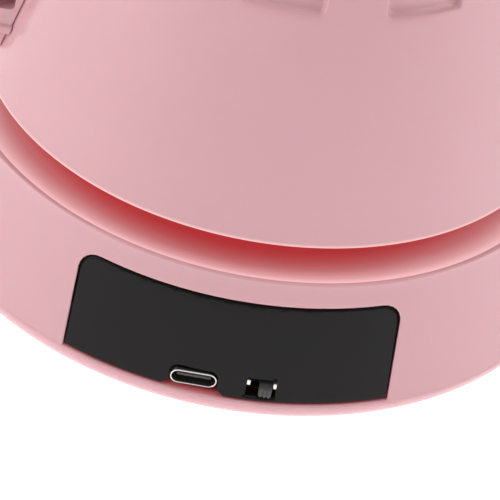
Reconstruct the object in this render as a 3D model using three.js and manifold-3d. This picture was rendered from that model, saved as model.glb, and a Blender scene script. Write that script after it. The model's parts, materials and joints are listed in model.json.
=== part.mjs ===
// Rechargeable single-donut maker: a round base with a battery and a charging socket, a conical
// body that stands clear of the base on a neck, a lower donut mould in the top of the body, and a
// hinged lid with the upper mould. Millimetres, +Z up, origin at the centre of the foot plane.
// The control panel faces -Y, the hinge is at -X and the lid's handle at +X.
import * as THREE from "three";
import { mergeVertices } from "three/addons/utils/BufferGeometryUtils.js";
import Module from "manifold-3d";

const wasm = await Module();
wasm.setup();

// ---------------------------------------------------------------- driving dimensions
const GAP = 0.3; // between pieces that touch on the real object
const WALL = 2.4; // moulded walls
const ROUND = 40; // facets round the large turned pieces
const MOULD_ROUND = 30; // facets round the moulds and shields
const SMALL_ROUND = 12; // facets round screws, pins and bosses

// Donut and moulds
const DONUT_RADIUS = 31.5;
const HOLE_RADIUS = 8.5;
const MOULD_SKIN = 2.0; // cast thickness behind the trough
const MOULD_FLANGE = 2.6; // thickness of the flat flange
const MOULD_RIM = 6.1; // flange outside the trough's skin
const PLATE_GAP = 0.5; // between the closed moulds

// Cell, tray and base stack
const CELL_RADIUS = 9.2;
const CELL_LENGTH = 65.2;
const FOOT_PROUD = 0.6;
const COVER_THICK = 2.0;
const TRAY_FLOOR = 1.2;
const CELL_HEADROOM = 1.4;
const DECK_RISE = 4.1; // rim above the lowest part of the deck

// Base outline
const WALL_INSET = 7.4; // the side wall leans in by this much
const LIP_INSET = 5.2; // the lip curls in by this much below its crease
const LIP_FLOOR = 1.2;
const LIP_TOP = 6.4;
const SEAT_WIDTH = 1.8; // flat underside between the lip's curl and the cover
const RIM_WIDTH = 1.4;

// Body outline
const SKIRT_INSET = 3.95; // skirt radius inside the rim
const SKIRT_LIFT = 5.4; // skirt edge above the rim
const BODY_HEIGHT = 59.9;
const BODY_FLARE = 15.9; // skirt radius over the radius at the parting plane
const TOP_WALL = 3.25;
const MOULD_CLEARANCE = 0.4;
const NECK_INSET = 13.0; // neck radius inside the skirt
const FLUTE_COUNT = 11;
const FLUTE_PHASE = -2.6; // azimuth of the first flute, degrees
const FLUTE_WIDTH = 18.5; // degrees
const FLUTE_DEPTH = 1.6;
const FLUTE_SILL = 16.0; // sill below the parting plane
const FLUTE_HEAD = 3.4;

// Control panel
const PANEL_HALF_LOW = 31.5;
const PANEL_HALF_HIGH = 30.7;
const PANEL_TOP = 25.9;
const PANEL_CORNER = 4.0;
const PANEL_RECESS = 0.9; // at its top edge
const PANEL_RECESS_LOW = 0.45; // at its bottom edge
const PANEL_THICK = 1.4;
const PANEL_FLANGE = 2.2;

// Charging socket and power switch
const SOCKET_X = -5.9;
const SOCKET_WIDTH = 8.94;
const SOCKET_HEIGHT = 3.26;
const SOCKET_DEPTH = 7.3;
const SOCKET_SKIN = 0.3;
const SWITCH_X = 7.0;
const SWITCH_WIDTH = 7.2;
const SWITCH_HEIGHT = 3.3;
const SWITCH_DEPTH = 3.8;
const KNOB_WIDTH = 2.5;
const KNOB_TRAVEL = 1.7;
const BOARD_THICK = 1.6;
const BOARD_RISE = 0.9; // board above the lip's crease

// Hinge spine, lid and latch
const SPINE_HALF = 21.5;
const SPINE_START = 10.4; // underside of the spine above the skirt edge
const HINGE_REACH = 8.75; // pin axis outside the body's top radius
const HINGE_RISE = 1.5; // pin axis above the parting plane
const HINGE_RADIUS = 5.5;
const KNUCKLE_HALF = 12.0;
const PIN_RADIUS = 1.5;
const LID_HEADROOM = 16.5; // lid's height over the depth of the trough
const LID_SIDE = 10.5; // straight conical part of the lid
const HANDLE_HALF = 13.0;
const HANDLE_REACH = 14.0;
const LATCH_HALF = 7.0;

// Screws
const SCREW_HEAD_RADIUS = 2.2;
const SCREW_HEAD = 1.6;
const SCREW_RADIUS = 1.2;
const BOSS_RADIUS = 3.1;

// ---------------------------------------------------------------- derived places
const TROUGH_RADIUS = (DONUT_RADIUS + HOLE_RADIUS) / 2;
const TROUGH_HALF = (DONUT_RADIUS - HOLE_RADIUS) / 2;
const MOULD_RADIUS = DONUT_RADIUS + MOULD_SKIN + MOULD_RIM;
const BODY_TOP_RADIUS = MOULD_RADIUS + MOULD_CLEARANCE + TOP_WALL;
const SKIRT_RADIUS = BODY_TOP_RADIUS + BODY_FLARE;
const RIM_RADIUS = SKIRT_RADIUS + SKIRT_INSET;
const LIP_RADIUS = RIM_RADIUS + WALL_INSET;
const NECK_RADIUS = SKIRT_RADIUS - NECK_INSET;
const COVER_TOP = FOOT_PROUD + COVER_THICK;
const CELL_Z = COVER_TOP + GAP + TRAY_FLOOR + GAP + CELL_RADIUS;
const DECK_UNDER = CELL_Z + CELL_RADIUS + CELL_HEADROOM;
const DECK_TOP = DECK_UNDER + WALL;
const RIM_TOP = DECK_TOP + DECK_RISE;
const SKIRT_Z = RIM_TOP + SKIRT_LIFT;
const PARTING = SKIRT_Z + BODY_HEIGHT;
const LID_BOTTOM = PARTING + PLATE_GAP;
const LID_TOP = LID_BOTTOM + TROUGH_HALF + LID_HEADROOM;
const NECK_TOP = SKIRT_Z + 1.9;
const FLOOR_UNDER = NECK_TOP + GAP;
const FLOOR_TOP = FLOOR_UNDER + 2.2;
const LEDGE_TOP = PARTING - MOULD_FLANGE - 1.2;
const LEDGE_THICK = 5.0;
const LEDGE_RADIUS = DONUT_RADIUS + MOULD_SKIN + 0.9;
const MOULD_SCREW_RADIUS = MOULD_RADIUS - SCREW_HEAD_RADIUS - 0.7;
const BOARD_TOP = LIP_TOP + BOARD_RISE;
const SOCKET_Z = BOARD_TOP + 0.12 + SOCKET_HEIGHT / 2;
const SWITCH_Z = BOARD_TOP + 0.1 + SWITCH_HEIGHT / 2;
const HINGE_X = -(BODY_TOP_RADIUS + HINGE_REACH);
const HINGE_Z = PARTING + HINGE_RISE;
const SPINE_Z = SKIRT_Z + SPINE_START;
const COVER_RADIUS = LIP_RADIUS - LIP_INSET - SEAT_WIDTH - GAP;

// Radius of the body's cone and of the base's side wall at a height.
const bodyRadius = (z) => SKIRT_RADIUS - ((z - SKIRT_Z) * BODY_FLARE) / BODY_HEIGHT;
const wallRadius = (z) => LIP_RADIUS - ((z - LIP_TOP) * WALL_INSET) / (RIM_TOP - LIP_TOP);
const panelRadius = (z) =>
  wallRadius(z) -
  PANEL_RECESS_LOW -
  ((PANEL_RECESS - PANEL_RECESS_LOW) * (z - LIP_TOP)) / (PANEL_TOP - LIP_TOP);
const panelFace = (x, z) => -Math.sqrt(panelRadius(z) ** 2 - x * x);

const SOCKET_FRONT = panelFace(SOCKET_X, SOCKET_Z) - 0.1;
const SWITCH_FRONT = SOCKET_FRONT + 2.2;

// ---------------------------------------------------------------- materials
const finish = (color, roughness, metalness) =>
  new THREE.MeshStandardMaterial({ color, roughness, metalness });
const PINK = finish(0xe6b0b6, 0.3, 0);
const BLACK_GLOSS = finish(0x2b292b, 0.25, 0);
const DARK_PLASTIC = finish(0x3a3a3d, 0.6, 0);
const STEEL = finish(0xc2c4c6, 0.3, 1);
const ALUMINIUM = finish(0xb9bbbd, 0.45, 1);
const NONSTICK = finish(0x35332f, 0.5, 0.2);
const RUBBER = finish(0x4a4648, 0.9, 0);
const BOARD_GREEN = finish(0x1f5a38, 0.5, 0);
const CELL_WRAP = finish(0x3f7fb5, 0.4, 0);
const WIRE = finish(0xb33a32, 0.5, 0);

// ---------------------------------------------------------------- solid helpers
// A closed geometry as a solid that can be joined and cut.
function solid(geometry) {
  const bare = geometry.clone();
  Object.keys(bare.attributes)
    .filter((name) => name !== "position")
    .forEach((name) => bare.deleteAttribute(name));
  const merged = mergeVertices(bare, 1e-4);
  return new wasm.Manifold(
    new wasm.Mesh({
      numProp: 3,
      vertProperties: new Float32Array(merged.attributes.position.array),
      triVerts: new Uint32Array(merged.index.array),
    }),
  );
}

// A solid's surface as a geometry.
function geometryOf(body) {
  const mesh = body.getMesh();
  const positions = new Float32Array(mesh.numVert * 3);
  for (let i = 0; i < mesh.numVert; i += 1) {
    positions.set(mesh.vertProperties.subarray(i * mesh.numProp, i * mesh.numProp + 3), i * 3);
  }
  const geometry = new THREE.BufferGeometry();
  geometry.setAttribute("position", new THREE.BufferAttribute(positions, 3));
  geometry.setIndex(new THREE.BufferAttribute(new Uint32Array(mesh.triVerts), 1));
  geometry.computeVertexNormals();
  return geometry;
}

// A named sub-part from a geometry or a solid.
function piece(name, shape, material) {
  const geometry = shape.isBufferGeometry ? shape : geometryOf(shape);
  const mesh = new THREE.Mesh(geometry, material);
  mesh.name = name;
  return mesh;
}

const radians = THREE.MathUtils.degToRad;

// A point at a radius and an azimuth, counted from -Y towards +X, in degrees.
const polar = (radius, azimuth) => [
  radius * Math.sin(radians(azimuth)),
  -radius * Math.cos(radians(azimuth)),
];

// Points of an arc from one angle to another, in degrees, both ends included.
function arc(cx, cy, rx, ry, from, to, steps) {
  return Array.from({ length: steps + 1 }, (_, i) => {
    const angle = radians(from + ((to - from) * i) / steps);
    return [cx + rx * Math.cos(angle), cy + ry * Math.sin(angle)];
  });
}

// A solid turned about Z from [radius, z] points. The outline either starts and ends on the axis
// or is closed here.
function turned(outline, facets = ROUND) {
  const open = outline[0][0] === 0 && outline.at(-1)[0] === 0;
  const points = open ? outline : [...outline, outline[0]];
  const area = points.reduce((sum, [r, z], i) => {
    const [r2, z2] = points[(i + 1) % points.length];
    return sum + r * z2 - r2 * z;
  }, 0);
  const ordered = area < 0 ? [...points].reverse() : points;
  const vectors = ordered.map(([r, z]) => new THREE.Vector2(r, z));
  return solid(new THREE.LatheGeometry(vectors, facets).rotateX(Math.PI / 2));
}

// A ring band that follows a cone, between two offsets from its radius.
function coneBand(radiusAt, inner, outer, low, high) {
  return turned([
    [radiusAt(low) + inner, low],
    [radiusAt(low) + outer, low],
    [radiusAt(high) + outer, high],
    [radiusAt(high) + inner, high],
  ]);
}

const shapeOf = (points) => new THREE.Shape(points.map(([x, y]) => new THREE.Vector2(x, y)));

function extruded(shape, depth, curveSegments = 6) {
  return new THREE.ExtrudeGeometry(shape, { depth, bevelEnabled: false, curveSegments });
}

// An outline in XY extruded from one height to another.
const slabZ = (shape, low, high) => solid(extruded(shape, high - low).translate(0, 0, low));

// An outline in XZ extruded between two y values.
const slabY = (shape, low, high) =>
  solid(extruded(shape, high - low).rotateX(Math.PI / 2).translate(0, high, 0));

// An outline in YZ extruded between two x values.
function slabX(shape, low, high) {
  const turn = new THREE.Matrix4().makeBasis(
    new THREE.Vector3(0, 1, 0),
    new THREE.Vector3(0, 0, 1),
    new THREE.Vector3(1, 0, 0),
  );
  return solid(extruded(shape, high - low).applyMatrix4(turn).translate(low, 0, 0));
}

// A box between two corners.
function block([x0, y0, z0], [x1, y1, z1]) {
  const box = new THREE.BoxGeometry(x1 - x0, y1 - y0, z1 - z0);
  return solid(box.translate((x0 + x1) / 2, (y0 + y1) / 2, (z0 + z1) / 2));
}

// Round bars along Z, Y and X.
function barZ(radius, x, y, low, high, facets = SMALL_ROUND) {
  const bar = new THREE.CylinderGeometry(radius, radius, high - low, facets);
  return solid(bar.rotateX(Math.PI / 2).translate(x, y, (low + high) / 2));
}
function barY(radius, x, z, low, high, facets = SMALL_ROUND) {
  const bar = new THREE.CylinderGeometry(radius, radius, high - low, facets);
  return solid(bar.translate(x, (low + high) / 2, z));
}
function barX(radius, y, z, low, high, facets = SMALL_ROUND) {
  const bar = new THREE.CylinderGeometry(radius, radius, high - low, facets);
  return solid(bar.rotateZ(Math.PI / 2).translate((low + high) / 2, y, z));
}

const join = (first, ...rest) => rest.reduce((sum, other) => sum.add(other), first);
const cut = (first, ...rest) => rest.reduce((left, other) => left.subtract(other), first);

// A pan-head screw, its head's underside at z = 0 and its shank pointing up.
function screw(name, length, headRadius = SCREW_HEAD_RADIUS) {
  const driveSlot = block([-0.4, -headRadius, -SCREW_HEAD - 1], [0.4, headRadius, -SCREW_HEAD + 0.7]);
  const body = join(
    barZ(headRadius, 0, 0, -SCREW_HEAD, 0, 10),
    barZ(SCREW_RADIUS, 0, 0, -0.2, length, 6),
  );
  return piece(name, cut(body, driveSlot), STEEL);
}

// ---------------------------------------------------------------- base
// Inner face of the side wall and lip, and the outline of the whole turned base shell.
function baseOutline() {
  const lipBottom = LIP_RADIUS - LIP_INSET;
  const rimOuter = RIM_RADIUS + RIM_WIDTH / 2;
  const rimInner = RIM_RADIUS - RIM_WIDTH / 2;
  return [
    [lipBottom, LIP_FLOOR],
    ...arc(lipBottom, LIP_TOP - 0.4, LIP_INSET, LIP_TOP - 0.4 - LIP_FLOOR, -75, 0, 4),
    [LIP_RADIUS - 0.2, LIP_TOP],
    [wallRadius(RIM_TOP - 1.0), RIM_TOP - 1.0],
    [rimOuter - 0.35, RIM_TOP - 0.2],
    [RIM_RADIUS, RIM_TOP],
    [rimInner, RIM_TOP - 0.25],
    [rimInner - 3.5, RIM_TOP - 1.9],
    [rimInner - 8.0, DECK_TOP + 0.7],
    [NECK_RADIUS + 2.5, DECK_TOP],
    [NECK_RADIUS, DECK_TOP + 1.2],
    [NECK_RADIUS, NECK_TOP],
    [NECK_RADIUS - 8.0, NECK_TOP],
    [NECK_RADIUS - 8.0, NECK_TOP - 2.2],
    [NECK_RADIUS - WALL, NECK_TOP - 2.2],
    [NECK_RADIUS - WALL, DECK_UNDER],
    [rimInner - 9.0, DECK_UNDER + 0.6],
    [wallRadius(RIM_TOP - 4.2) - WALL, RIM_TOP - 4.2],
    [wallRadius(LIP_TOP) - WALL, LIP_TOP],
    [COVER_RADIUS + GAP + 0.6, COVER_TOP + GAP + 1.2],
    [COVER_RADIUS + GAP, COVER_TOP + GAP],
    [COVER_RADIUS + GAP, LIP_FLOOR],
  ];
}

// The panel opening's outline, grown outwards by an amount.
function panelOutline(grow, low) {
  const half = (z) =>
    PANEL_HALF_LOW +
    grow -
    ((PANEL_HALF_LOW - PANEL_HALF_HIGH) * (z - LIP_TOP)) / (PANEL_TOP - LIP_TOP);
  const top = PANEL_TOP + grow;
  const corner = PANEL_CORNER + Math.max(grow, -PANEL_CORNER / 2);
  const right = half(top) - corner;
  return shapeOf([
    [-half(low), low],
    [half(low), low],
    ...arc(right, top - corner, corner, corner, 0, 90, 5),
    ...arc(-right, top - corner, corner, corner, 90, 180, 5),
  ]);
}

const panelPrism = (grow, low) => slabY(panelOutline(grow, low), -LIP_RADIUS - 10, -LIP_RADIUS / 2);

const COVER_SCREW_AZIMUTHS = [45, 135, 225, 315];
const COVER_SCREW_RADIUS = COVER_RADIUS - 7.5;
const COVER_CUP_TOP = COVER_TOP + 2.6;
const NECK_SCREW_AZIMUTHS = [30, 150, 270];
const NECK_SCREW_RADIUS = NECK_RADIUS - 5.2;

function baseShell() {
  const posts = COVER_SCREW_AZIMUTHS.map((azimuth) => {
    const [x, y] = polar(COVER_SCREW_RADIUS, azimuth);
    return barZ(BOSS_RADIUS, x, y, COVER_CUP_TOP + GAP, DECK_UNDER + 1.6);
  });
  const postHoles = COVER_SCREW_AZIMUTHS.map((azimuth) => {
    const [x, y] = polar(COVER_SCREW_RADIUS, azimuth);
    return barZ(SCREW_RADIUS + GAP, x, y, 0, COVER_CUP_TOP + 11, 8);
  });
  const neckHoles = NECK_SCREW_AZIMUTHS.map((azimuth) => {
    const [x, y] = polar(NECK_SCREW_RADIUS, azimuth);
    return barZ(SCREW_RADIUS + GAP, x, y, NECK_TOP - 5, NECK_TOP + 5, 8);
  });
  const window = panelPrism(0, LIP_TOP).intersect(
    coneBand(wallRadius, -WALL - 1.0, 4.0, LIP_TOP - 1, PANEL_TOP + 1),
  );
  return piece(
    "base_shell",
    cut(join(turned(baseOutline()), ...posts), ...postHoles, ...neckHoles, window),
    PINK,
  );
}

const FOOT_RADIUS = 6.0;
const FOOT_AZIMUTHS = [0, 90, 180, 270];
const FOOT_PLACE = COVER_RADIUS - 9.0;
const BOARD_SCREWS = [-17, 17];
const BOARD_SCREW_Y = -(LIP_RADIUS - 30.5);

function bottomCover() {
  const disc = barZ(COVER_RADIUS, 0, 0, FOOT_PROUD, COVER_TOP, ROUND);
  const standoffTop = BOARD_TOP - BOARD_THICK - GAP;
  const screwPlaces = COVER_SCREW_AZIMUTHS.map((azimuth) => polar(COVER_SCREW_RADIUS, azimuth));
  const footPlaces = FOOT_AZIMUTHS.map((azimuth) => polar(FOOT_PLACE, azimuth));
  const cups = [
    ...screwPlaces.map(([x, y]) => barZ(BOSS_RADIUS + 1.4, x, y, FOOT_PROUD, COVER_CUP_TOP)),
    ...footPlaces.map(([x, y]) => barZ(FOOT_RADIUS + 1.6, x, y, FOOT_PROUD, COVER_TOP + 1.4)),
    ...BOARD_SCREWS.map((x) => barZ(BOSS_RADIUS, x, BOARD_SCREW_Y, FOOT_PROUD, standoffTop)),
  ];
  const hollows = [
    ...screwPlaces.map(([x, y]) => barZ(SCREW_HEAD_RADIUS + GAP, x, y, 0, COVER_TOP + 0.6)),
    ...screwPlaces.map(([x, y]) => barZ(SCREW_RADIUS + GAP, x, y, 0, COVER_CUP_TOP + 1, 8)),
    ...footPlaces.map(([x, y]) => barZ(FOOT_RADIUS + GAP, x, y, 0, COVER_TOP + GAP - 0.6)),
    ...BOARD_SCREWS.map((x) => barZ(SCREW_RADIUS + GAP, x, BOARD_SCREW_Y, COVER_TOP, BOARD_TOP, 8)),
  ];
  return piece("bottom_cover", cut(join(disc, ...cups), ...hollows), PINK);
}

function feetAndCoverScrews() {
  const footTop = COVER_TOP - 0.6;
  const footOutline = [
    [0, 0],
    [FOOT_RADIUS - 0.5, 0],
    [FOOT_RADIUS, 0.5],
    [FOOT_RADIUS, footTop],
    [0, footTop],
  ];
  const feet = FOOT_AZIMUTHS.map((azimuth, i) => {
    const foot = piece(`rubber_foot_${i + 1}`, turned(footOutline, SMALL_ROUND), RUBBER);
    foot.position.set(...polar(FOOT_PLACE, azimuth), 0);
    return foot;
  });
  const screws = COVER_SCREW_AZIMUTHS.map((azimuth, i) => {
    const fastener = screw(`cover_screw_${i + 1}`, 9);
    fastener.position.set(...polar(COVER_SCREW_RADIUS, azimuth), COVER_TOP + 0.6 - 0.1);
    return fastener;
  });
  return [...feet, ...screws];
}

function controlPanel() {
  const bottom = LIP_TOP + GAP;
  const face = panelPrism(-GAP, bottom).intersect(
    coneBand(panelRadius, -WALL - PANEL_THICK, 0, bottom - 1, PANEL_TOP + 3),
  );
  const flange = panelPrism(PANEL_FLANGE / 2, bottom).intersect(
    coneBand(wallRadius, -WALL - GAP - PANEL_THICK, -WALL - GAP, bottom - 1, RIM_TOP - 4.2 - 2 * GAP),
  );
  const socketHole = shapeOf(stadium(SOCKET_WIDTH + 2 * GAP, SOCKET_HEIGHT + 2 * GAP));
  const socketNotch = join(
    slabY(socketHole, -LIP_RADIUS - 5, -LIP_RADIUS / 2).translate([SOCKET_X, 0, SOCKET_Z]),
    block(
      [SOCKET_X - SOCKET_WIDTH / 2 - GAP, -LIP_RADIUS - 5, 0],
      [SOCKET_X + SOCKET_WIDTH / 2 + GAP, -LIP_RADIUS / 2, SOCKET_Z],
    ),
  );
  const switchNotch = block(
    [SWITCH_X - SWITCH_WIDTH / 2 + 0.5, -LIP_RADIUS - 5, 0],
    [SWITCH_X + SWITCH_WIDTH / 2 - 0.5, -LIP_RADIUS / 2, SWITCH_Z + SWITCH_HEIGHT / 2 + GAP],
  );
  const switchRoom = block(
    [SWITCH_X - SWITCH_WIDTH / 2 - GAP, SWITCH_FRONT - GAP, 0],
    [SWITCH_X + SWITCH_WIDTH / 2 + GAP, -LIP_RADIUS / 2, SWITCH_Z + SWITCH_HEIGHT / 2 + GAP],
  );
  return piece(
    "control_panel",
    cut(join(face, flange), socketNotch, switchNotch, switchRoom),
    BLACK_GLOSS,
  );
}

// ---------------------------------------------------------------- electronics
// Outline with round ends, centred on the origin.
function stadium(width, height) {
  const r = height / 2;
  const straight = width / 2 - r;
  return [
    ...arc(straight, 0, r, r, -90, 90, 8),
    ...arc(-straight, 0, r, r, 90, 270, 8),
  ];
}

function chargingSocket() {
  const ring = shapeOf(stadium(SOCKET_WIDTH, SOCKET_HEIGHT));
  ring.holes.push(
    shapeOf(stadium(SOCKET_WIDTH - 2 * SOCKET_SKIN, SOCKET_HEIGHT - 2 * SOCKET_SKIN)),
  );
  const back = shapeOf(stadium(SOCKET_WIDTH, SOCKET_HEIGHT));
  const shell = piece(
    "socket_shell",
    join(slabY(ring, 0, SOCKET_DEPTH), slabY(back, SOCKET_DEPTH - 0.3, SOCKET_DEPTH + SOCKET_SKIN)),
    STEEL,
  );
  const tongueWidth = SOCKET_WIDTH - 2.3;
  const tongueEnd = SOCKET_DEPTH - 0.6;
  const plug = shapeOf(
    stadium(SOCKET_WIDTH - 2 * SOCKET_SKIN - 0.4, SOCKET_HEIGHT - 2 * SOCKET_SKIN - 0.4),
  );
  const insert = piece(
    "socket_tongue",
    join(
      block([-tongueWidth / 2, 0.8, -0.35], [tongueWidth / 2, tongueEnd, 0.35]),
      slabY(plug, tongueEnd - 1.8, tongueEnd),
    ),
    DARK_PLASTIC,
  );
  const socket = new THREE.Group();
  socket.position.set(SOCKET_X, SOCKET_FRONT, SOCKET_Z);
  socket.add(shell, insert);
  return socket;
}

function powerSwitch() {
  const halfWidth = SWITCH_WIDTH / 2;
  const halfHeight = SWITCH_HEIGHT / 2;
  const slotHalf = (KNOB_WIDTH + KNOB_TRAVEL) / 2 + 0.25;
  const frame = piece(
    "switch_frame",
    cut(
      block([-halfWidth, 0, -halfHeight], [halfWidth, SWITCH_DEPTH, halfHeight]),
      block([-slotHalf, -1, -halfHeight + 0.3], [slotHalf, 1.6, halfHeight - 0.5]),
    ),
    STEEL,
  );
  const ridges = [-0.8, 0, 0.8].map((x) =>
    block([x - 0.22, -2.95, -halfHeight + 0.45], [x + 0.22, -2.6, halfHeight - 0.65]),
  );
  const knob = piece(
    "switch_knob",
    join(
      block([-KNOB_WIDTH / 2, -2.65, -halfHeight + 0.45], [KNOB_WIDTH / 2, 1.3, halfHeight - 0.65]),
      ...ridges,
    ),
    DARK_PLASTIC,
  );
  knob.position.x = KNOB_TRAVEL / 2;
  const unit = new THREE.Group();
  unit.position.set(SWITCH_X, SWITCH_FRONT, SWITCH_Z);
  unit.add(frame, knob);
  return unit;
}

const BOARD_FRONT = -(wallRadius(LIP_TOP) - WALL - 3.6);
const BOARD_NOSE_HALF = 11;

function mainBoard() {
  const outline = shapeOf([
    [-BOARD_NOSE_HALF, BOARD_FRONT],
    [BOARD_NOSE_HALF, BOARD_FRONT],
    [22, BOARD_FRONT + 7],
    [22, BOARD_SCREW_Y + 5],
    [-22, BOARD_SCREW_Y + 5],
    [-22, BOARD_FRONT + 7],
  ]);
  const holes = BOARD_SCREWS.map((x) =>
    barZ(SCREW_RADIUS + GAP, x, BOARD_SCREW_Y, BOARD_TOP - 5, BOARD_TOP + 5, 8),
  );
  const board = piece(
    "main_board",
    cut(slabZ(outline, BOARD_TOP - BOARD_THICK, BOARD_TOP), ...holes),
    BOARD_GREEN,
  );
  const screws = BOARD_SCREWS.map((x, i) => {
    const fastener = screw(`board_screw_${i + 1}`, 3.4);
    fastener.rotation.x = Math.PI;
    fastener.position.set(x, BOARD_SCREW_Y, BOARD_TOP + 0.1);
    return fastener;
  });
  const partsRow = BOARD_FRONT + 15;
  const inductor = piece(
    "boost_inductor",
    turned([[0, 0], [5.2, 0], [5.2, 1], [4.2, 1.6], [4.2, 4], [5.2, 4.6], [5.2, 5.6], [0, 5.6]], 20),
    DARK_PLASTIC,
  );
  inductor.position.set(-11, partsRow, BOARD_TOP + 0.1);
  const chip = piece("control_chip", block([-3.5, -3.5, 0], [3.5, 3.5, 1.2]), DARK_PLASTIC);
  chip.position.set(2, partsRow, BOARD_TOP + 0.1);
  const wireWays = [-2.4, 2.4].map((x) => block([x - 1.4, -4, 1.5], [x + 1.4, 1.5, 5]));
  const terminal = piece(
    "heater_terminal",
    cut(block([-5, -3.2, 0], [5, 3.2, 8]), ...wireWays),
    DARK_PLASTIC,
  );
  terminal.position.set(13, partsRow, BOARD_TOP + 0.1);
  return [board, ...screws, inductor, chip, terminal];
}

const CELL_PITCH = 2 * CELL_RADIUS + 2.6;
const CELL_YS = [0, CELL_PITCH];

function battery() {
  const trayLow = COVER_TOP + GAP;
  const trayTop = trayLow + 6.5;
  const outerY = [CELL_YS[0] - CELL_RADIUS - 1.6, CELL_YS[1] + CELL_RADIUS + 1.6];
  const section = shapeOf([
    [outerY[0], trayLow],
    [outerY[1], trayLow],
    [outerY[1], trayTop],
    [outerY[0], trayTop],
  ]);
  const trayHalf = CELL_LENGTH / 2 - 3;
  const tray = piece(
    "battery_tray",
    cut(
      slabX(section, -trayHalf, trayHalf),
      ...CELL_YS.map((y) => barX(CELL_RADIUS + GAP, y, CELL_Z, -CELL_LENGTH, CELL_LENGTH, 20)),
    ),
    DARK_PLASTIC,
  );
  const half = CELL_LENGTH / 2;
  const cellOutline = [
    [0, -half],
    [CELL_RADIUS - 0.6, -half],
    [CELL_RADIUS, 0.6 - half],
    [CELL_RADIUS, half - 2],
    [CELL_RADIUS - 0.7, half - 1.2],
    [3, half - 1.2],
    [3, half],
    [0, half],
  ];
  const cells = CELL_YS.map((y, i) => {
    const cell = piece(`battery_cell_${i + 1}`, turned(cellOutline, 20), CELL_WRAP);
    cell.rotation.y = i ? -Math.PI / 2 : Math.PI / 2;
    cell.position.set(0, y, CELL_Z);
    return cell;
  });
  return [tray, ...cells];
}

// ---------------------------------------------------------------- body
// The cutter of one flute: a block that follows the cone, with radial sides.
function fluteCutter(azimuth) {
  const low = PARTING - FLUTE_SILL;
  const high = PARTING - FLUTE_HEAD;
  const band = coneBand(bodyRadius, -FLUTE_DEPTH, 4, low, high);
  const reach = BODY_TOP_RADIUS + BODY_FLARE;
  const wedge = shapeOf([
    [0, 0],
    polar(reach, azimuth - FLUTE_WIDTH / 2),
    polar(reach * 1.05, azimuth),
    polar(reach, azimuth + FLUTE_WIDTH / 2),
  ]);
  return band.intersect(slabZ(wedge, low - 1, high + 1));
}

// Azimuths of the flutes that the spine and the latch catch leave room for.
const fluteAzimuths = Array.from({ length: FLUTE_COUNT }, (_, i) => {
  const azimuth = FLUTE_PHASE + (360 / FLUTE_COUNT) * i;
  return azimuth > 180 ? azimuth - 360 : azimuth;
}).filter((azimuth) => {
  const fromSpine = Math.abs(azimuth + 90);
  const fromCatch = Math.abs(azimuth - 90);
  const spineHalf = THREE.MathUtils.radToDeg(Math.asin(SPINE_HALF / BODY_TOP_RADIUS));
  return fromSpine > spineHalf + FLUTE_WIDTH / 2 && fromCatch > FLUTE_WIDTH;
});

const MOULD_SCREW_AZIMUTHS = [60, 180, 300];
const SPINE_SCREW_ZS = [SPINE_Z + 8, SPINE_Z + 28];
const CATCH_Z = PARTING - 6.7;
const CATCH_THICK = 2.7;

function upperShell() {
  const opening = MOULD_RADIUS + MOULD_CLEARANCE;
  const ledgeUnder = LEDGE_TOP - LEDGE_THICK;
  const innerFoot = bodyRadius(ledgeUnder - 6) - WALL - 0.6;
  const shell = turned([
    [SKIRT_RADIUS, SKIRT_Z],
    [BODY_TOP_RADIUS, PARTING],
    [opening, PARTING],
    [opening, LEDGE_TOP],
    [LEDGE_RADIUS, LEDGE_TOP],
    [LEDGE_RADIUS, ledgeUnder],
    [innerFoot, ledgeUnder - 6],
    [bodyRadius(FLOOR_TOP) - WALL - 0.6, FLOOR_TOP],
    [NECK_RADIUS - 12, FLOOR_TOP],
    [NECK_RADIUS - 12, FLOOR_UNDER],
    [bodyRadius(FLOOR_UNDER) - WALL, FLOOR_UNDER],
    [SKIRT_RADIUS - 1.0, SKIRT_Z],
  ]);
  const bosses = NECK_SCREW_AZIMUTHS.map((azimuth) => {
    const [x, y] = polar(NECK_SCREW_RADIUS, azimuth);
    return barZ(BOSS_RADIUS, x, y, FLOOR_UNDER, FLOOR_TOP + 7);
  });
  const bossHoles = NECK_SCREW_AZIMUTHS.map((azimuth) => {
    const [x, y] = polar(NECK_SCREW_RADIUS, azimuth);
    return barZ(SCREW_RADIUS + GAP, x, y, FLOOR_UNDER - 1, FLOOR_TOP + 6, 8);
  });
  const mouldHoles = MOULD_SCREW_AZIMUTHS.map((azimuth) => {
    const [x, y] = polar(MOULD_SCREW_RADIUS, azimuth);
    return barZ(SCREW_RADIUS + GAP, x, y, LEDGE_TOP - 4.4, LEDGE_TOP + 1, 8);
  });
  const spineHoles = SPINE_SCREW_ZS.map((z) =>
    barX(SCREW_RADIUS + GAP, 0, z, -bodyRadius(z) - 2, -bodyRadius(z) + 8, 8),
  );
  return piece(
    "upper_shell",
    cut(
      join(shell, ...bosses, catchLedge()),
      ...bossHoles,
      ...mouldHoles,
      ...spineHoles,
      ...fluteAzimuths.map(fluteCutter),
    ),
    PINK,
  );
}

function neckScrews() {
  return NECK_SCREW_AZIMUTHS.map((azimuth, i) => {
    const fastener = screw(`neck_screw_${i + 1}`, 8);
    fastener.position.set(...polar(NECK_SCREW_RADIUS, azimuth), NECK_TOP - 2.2 - 0.1);
    return fastener;
  });
}

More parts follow.
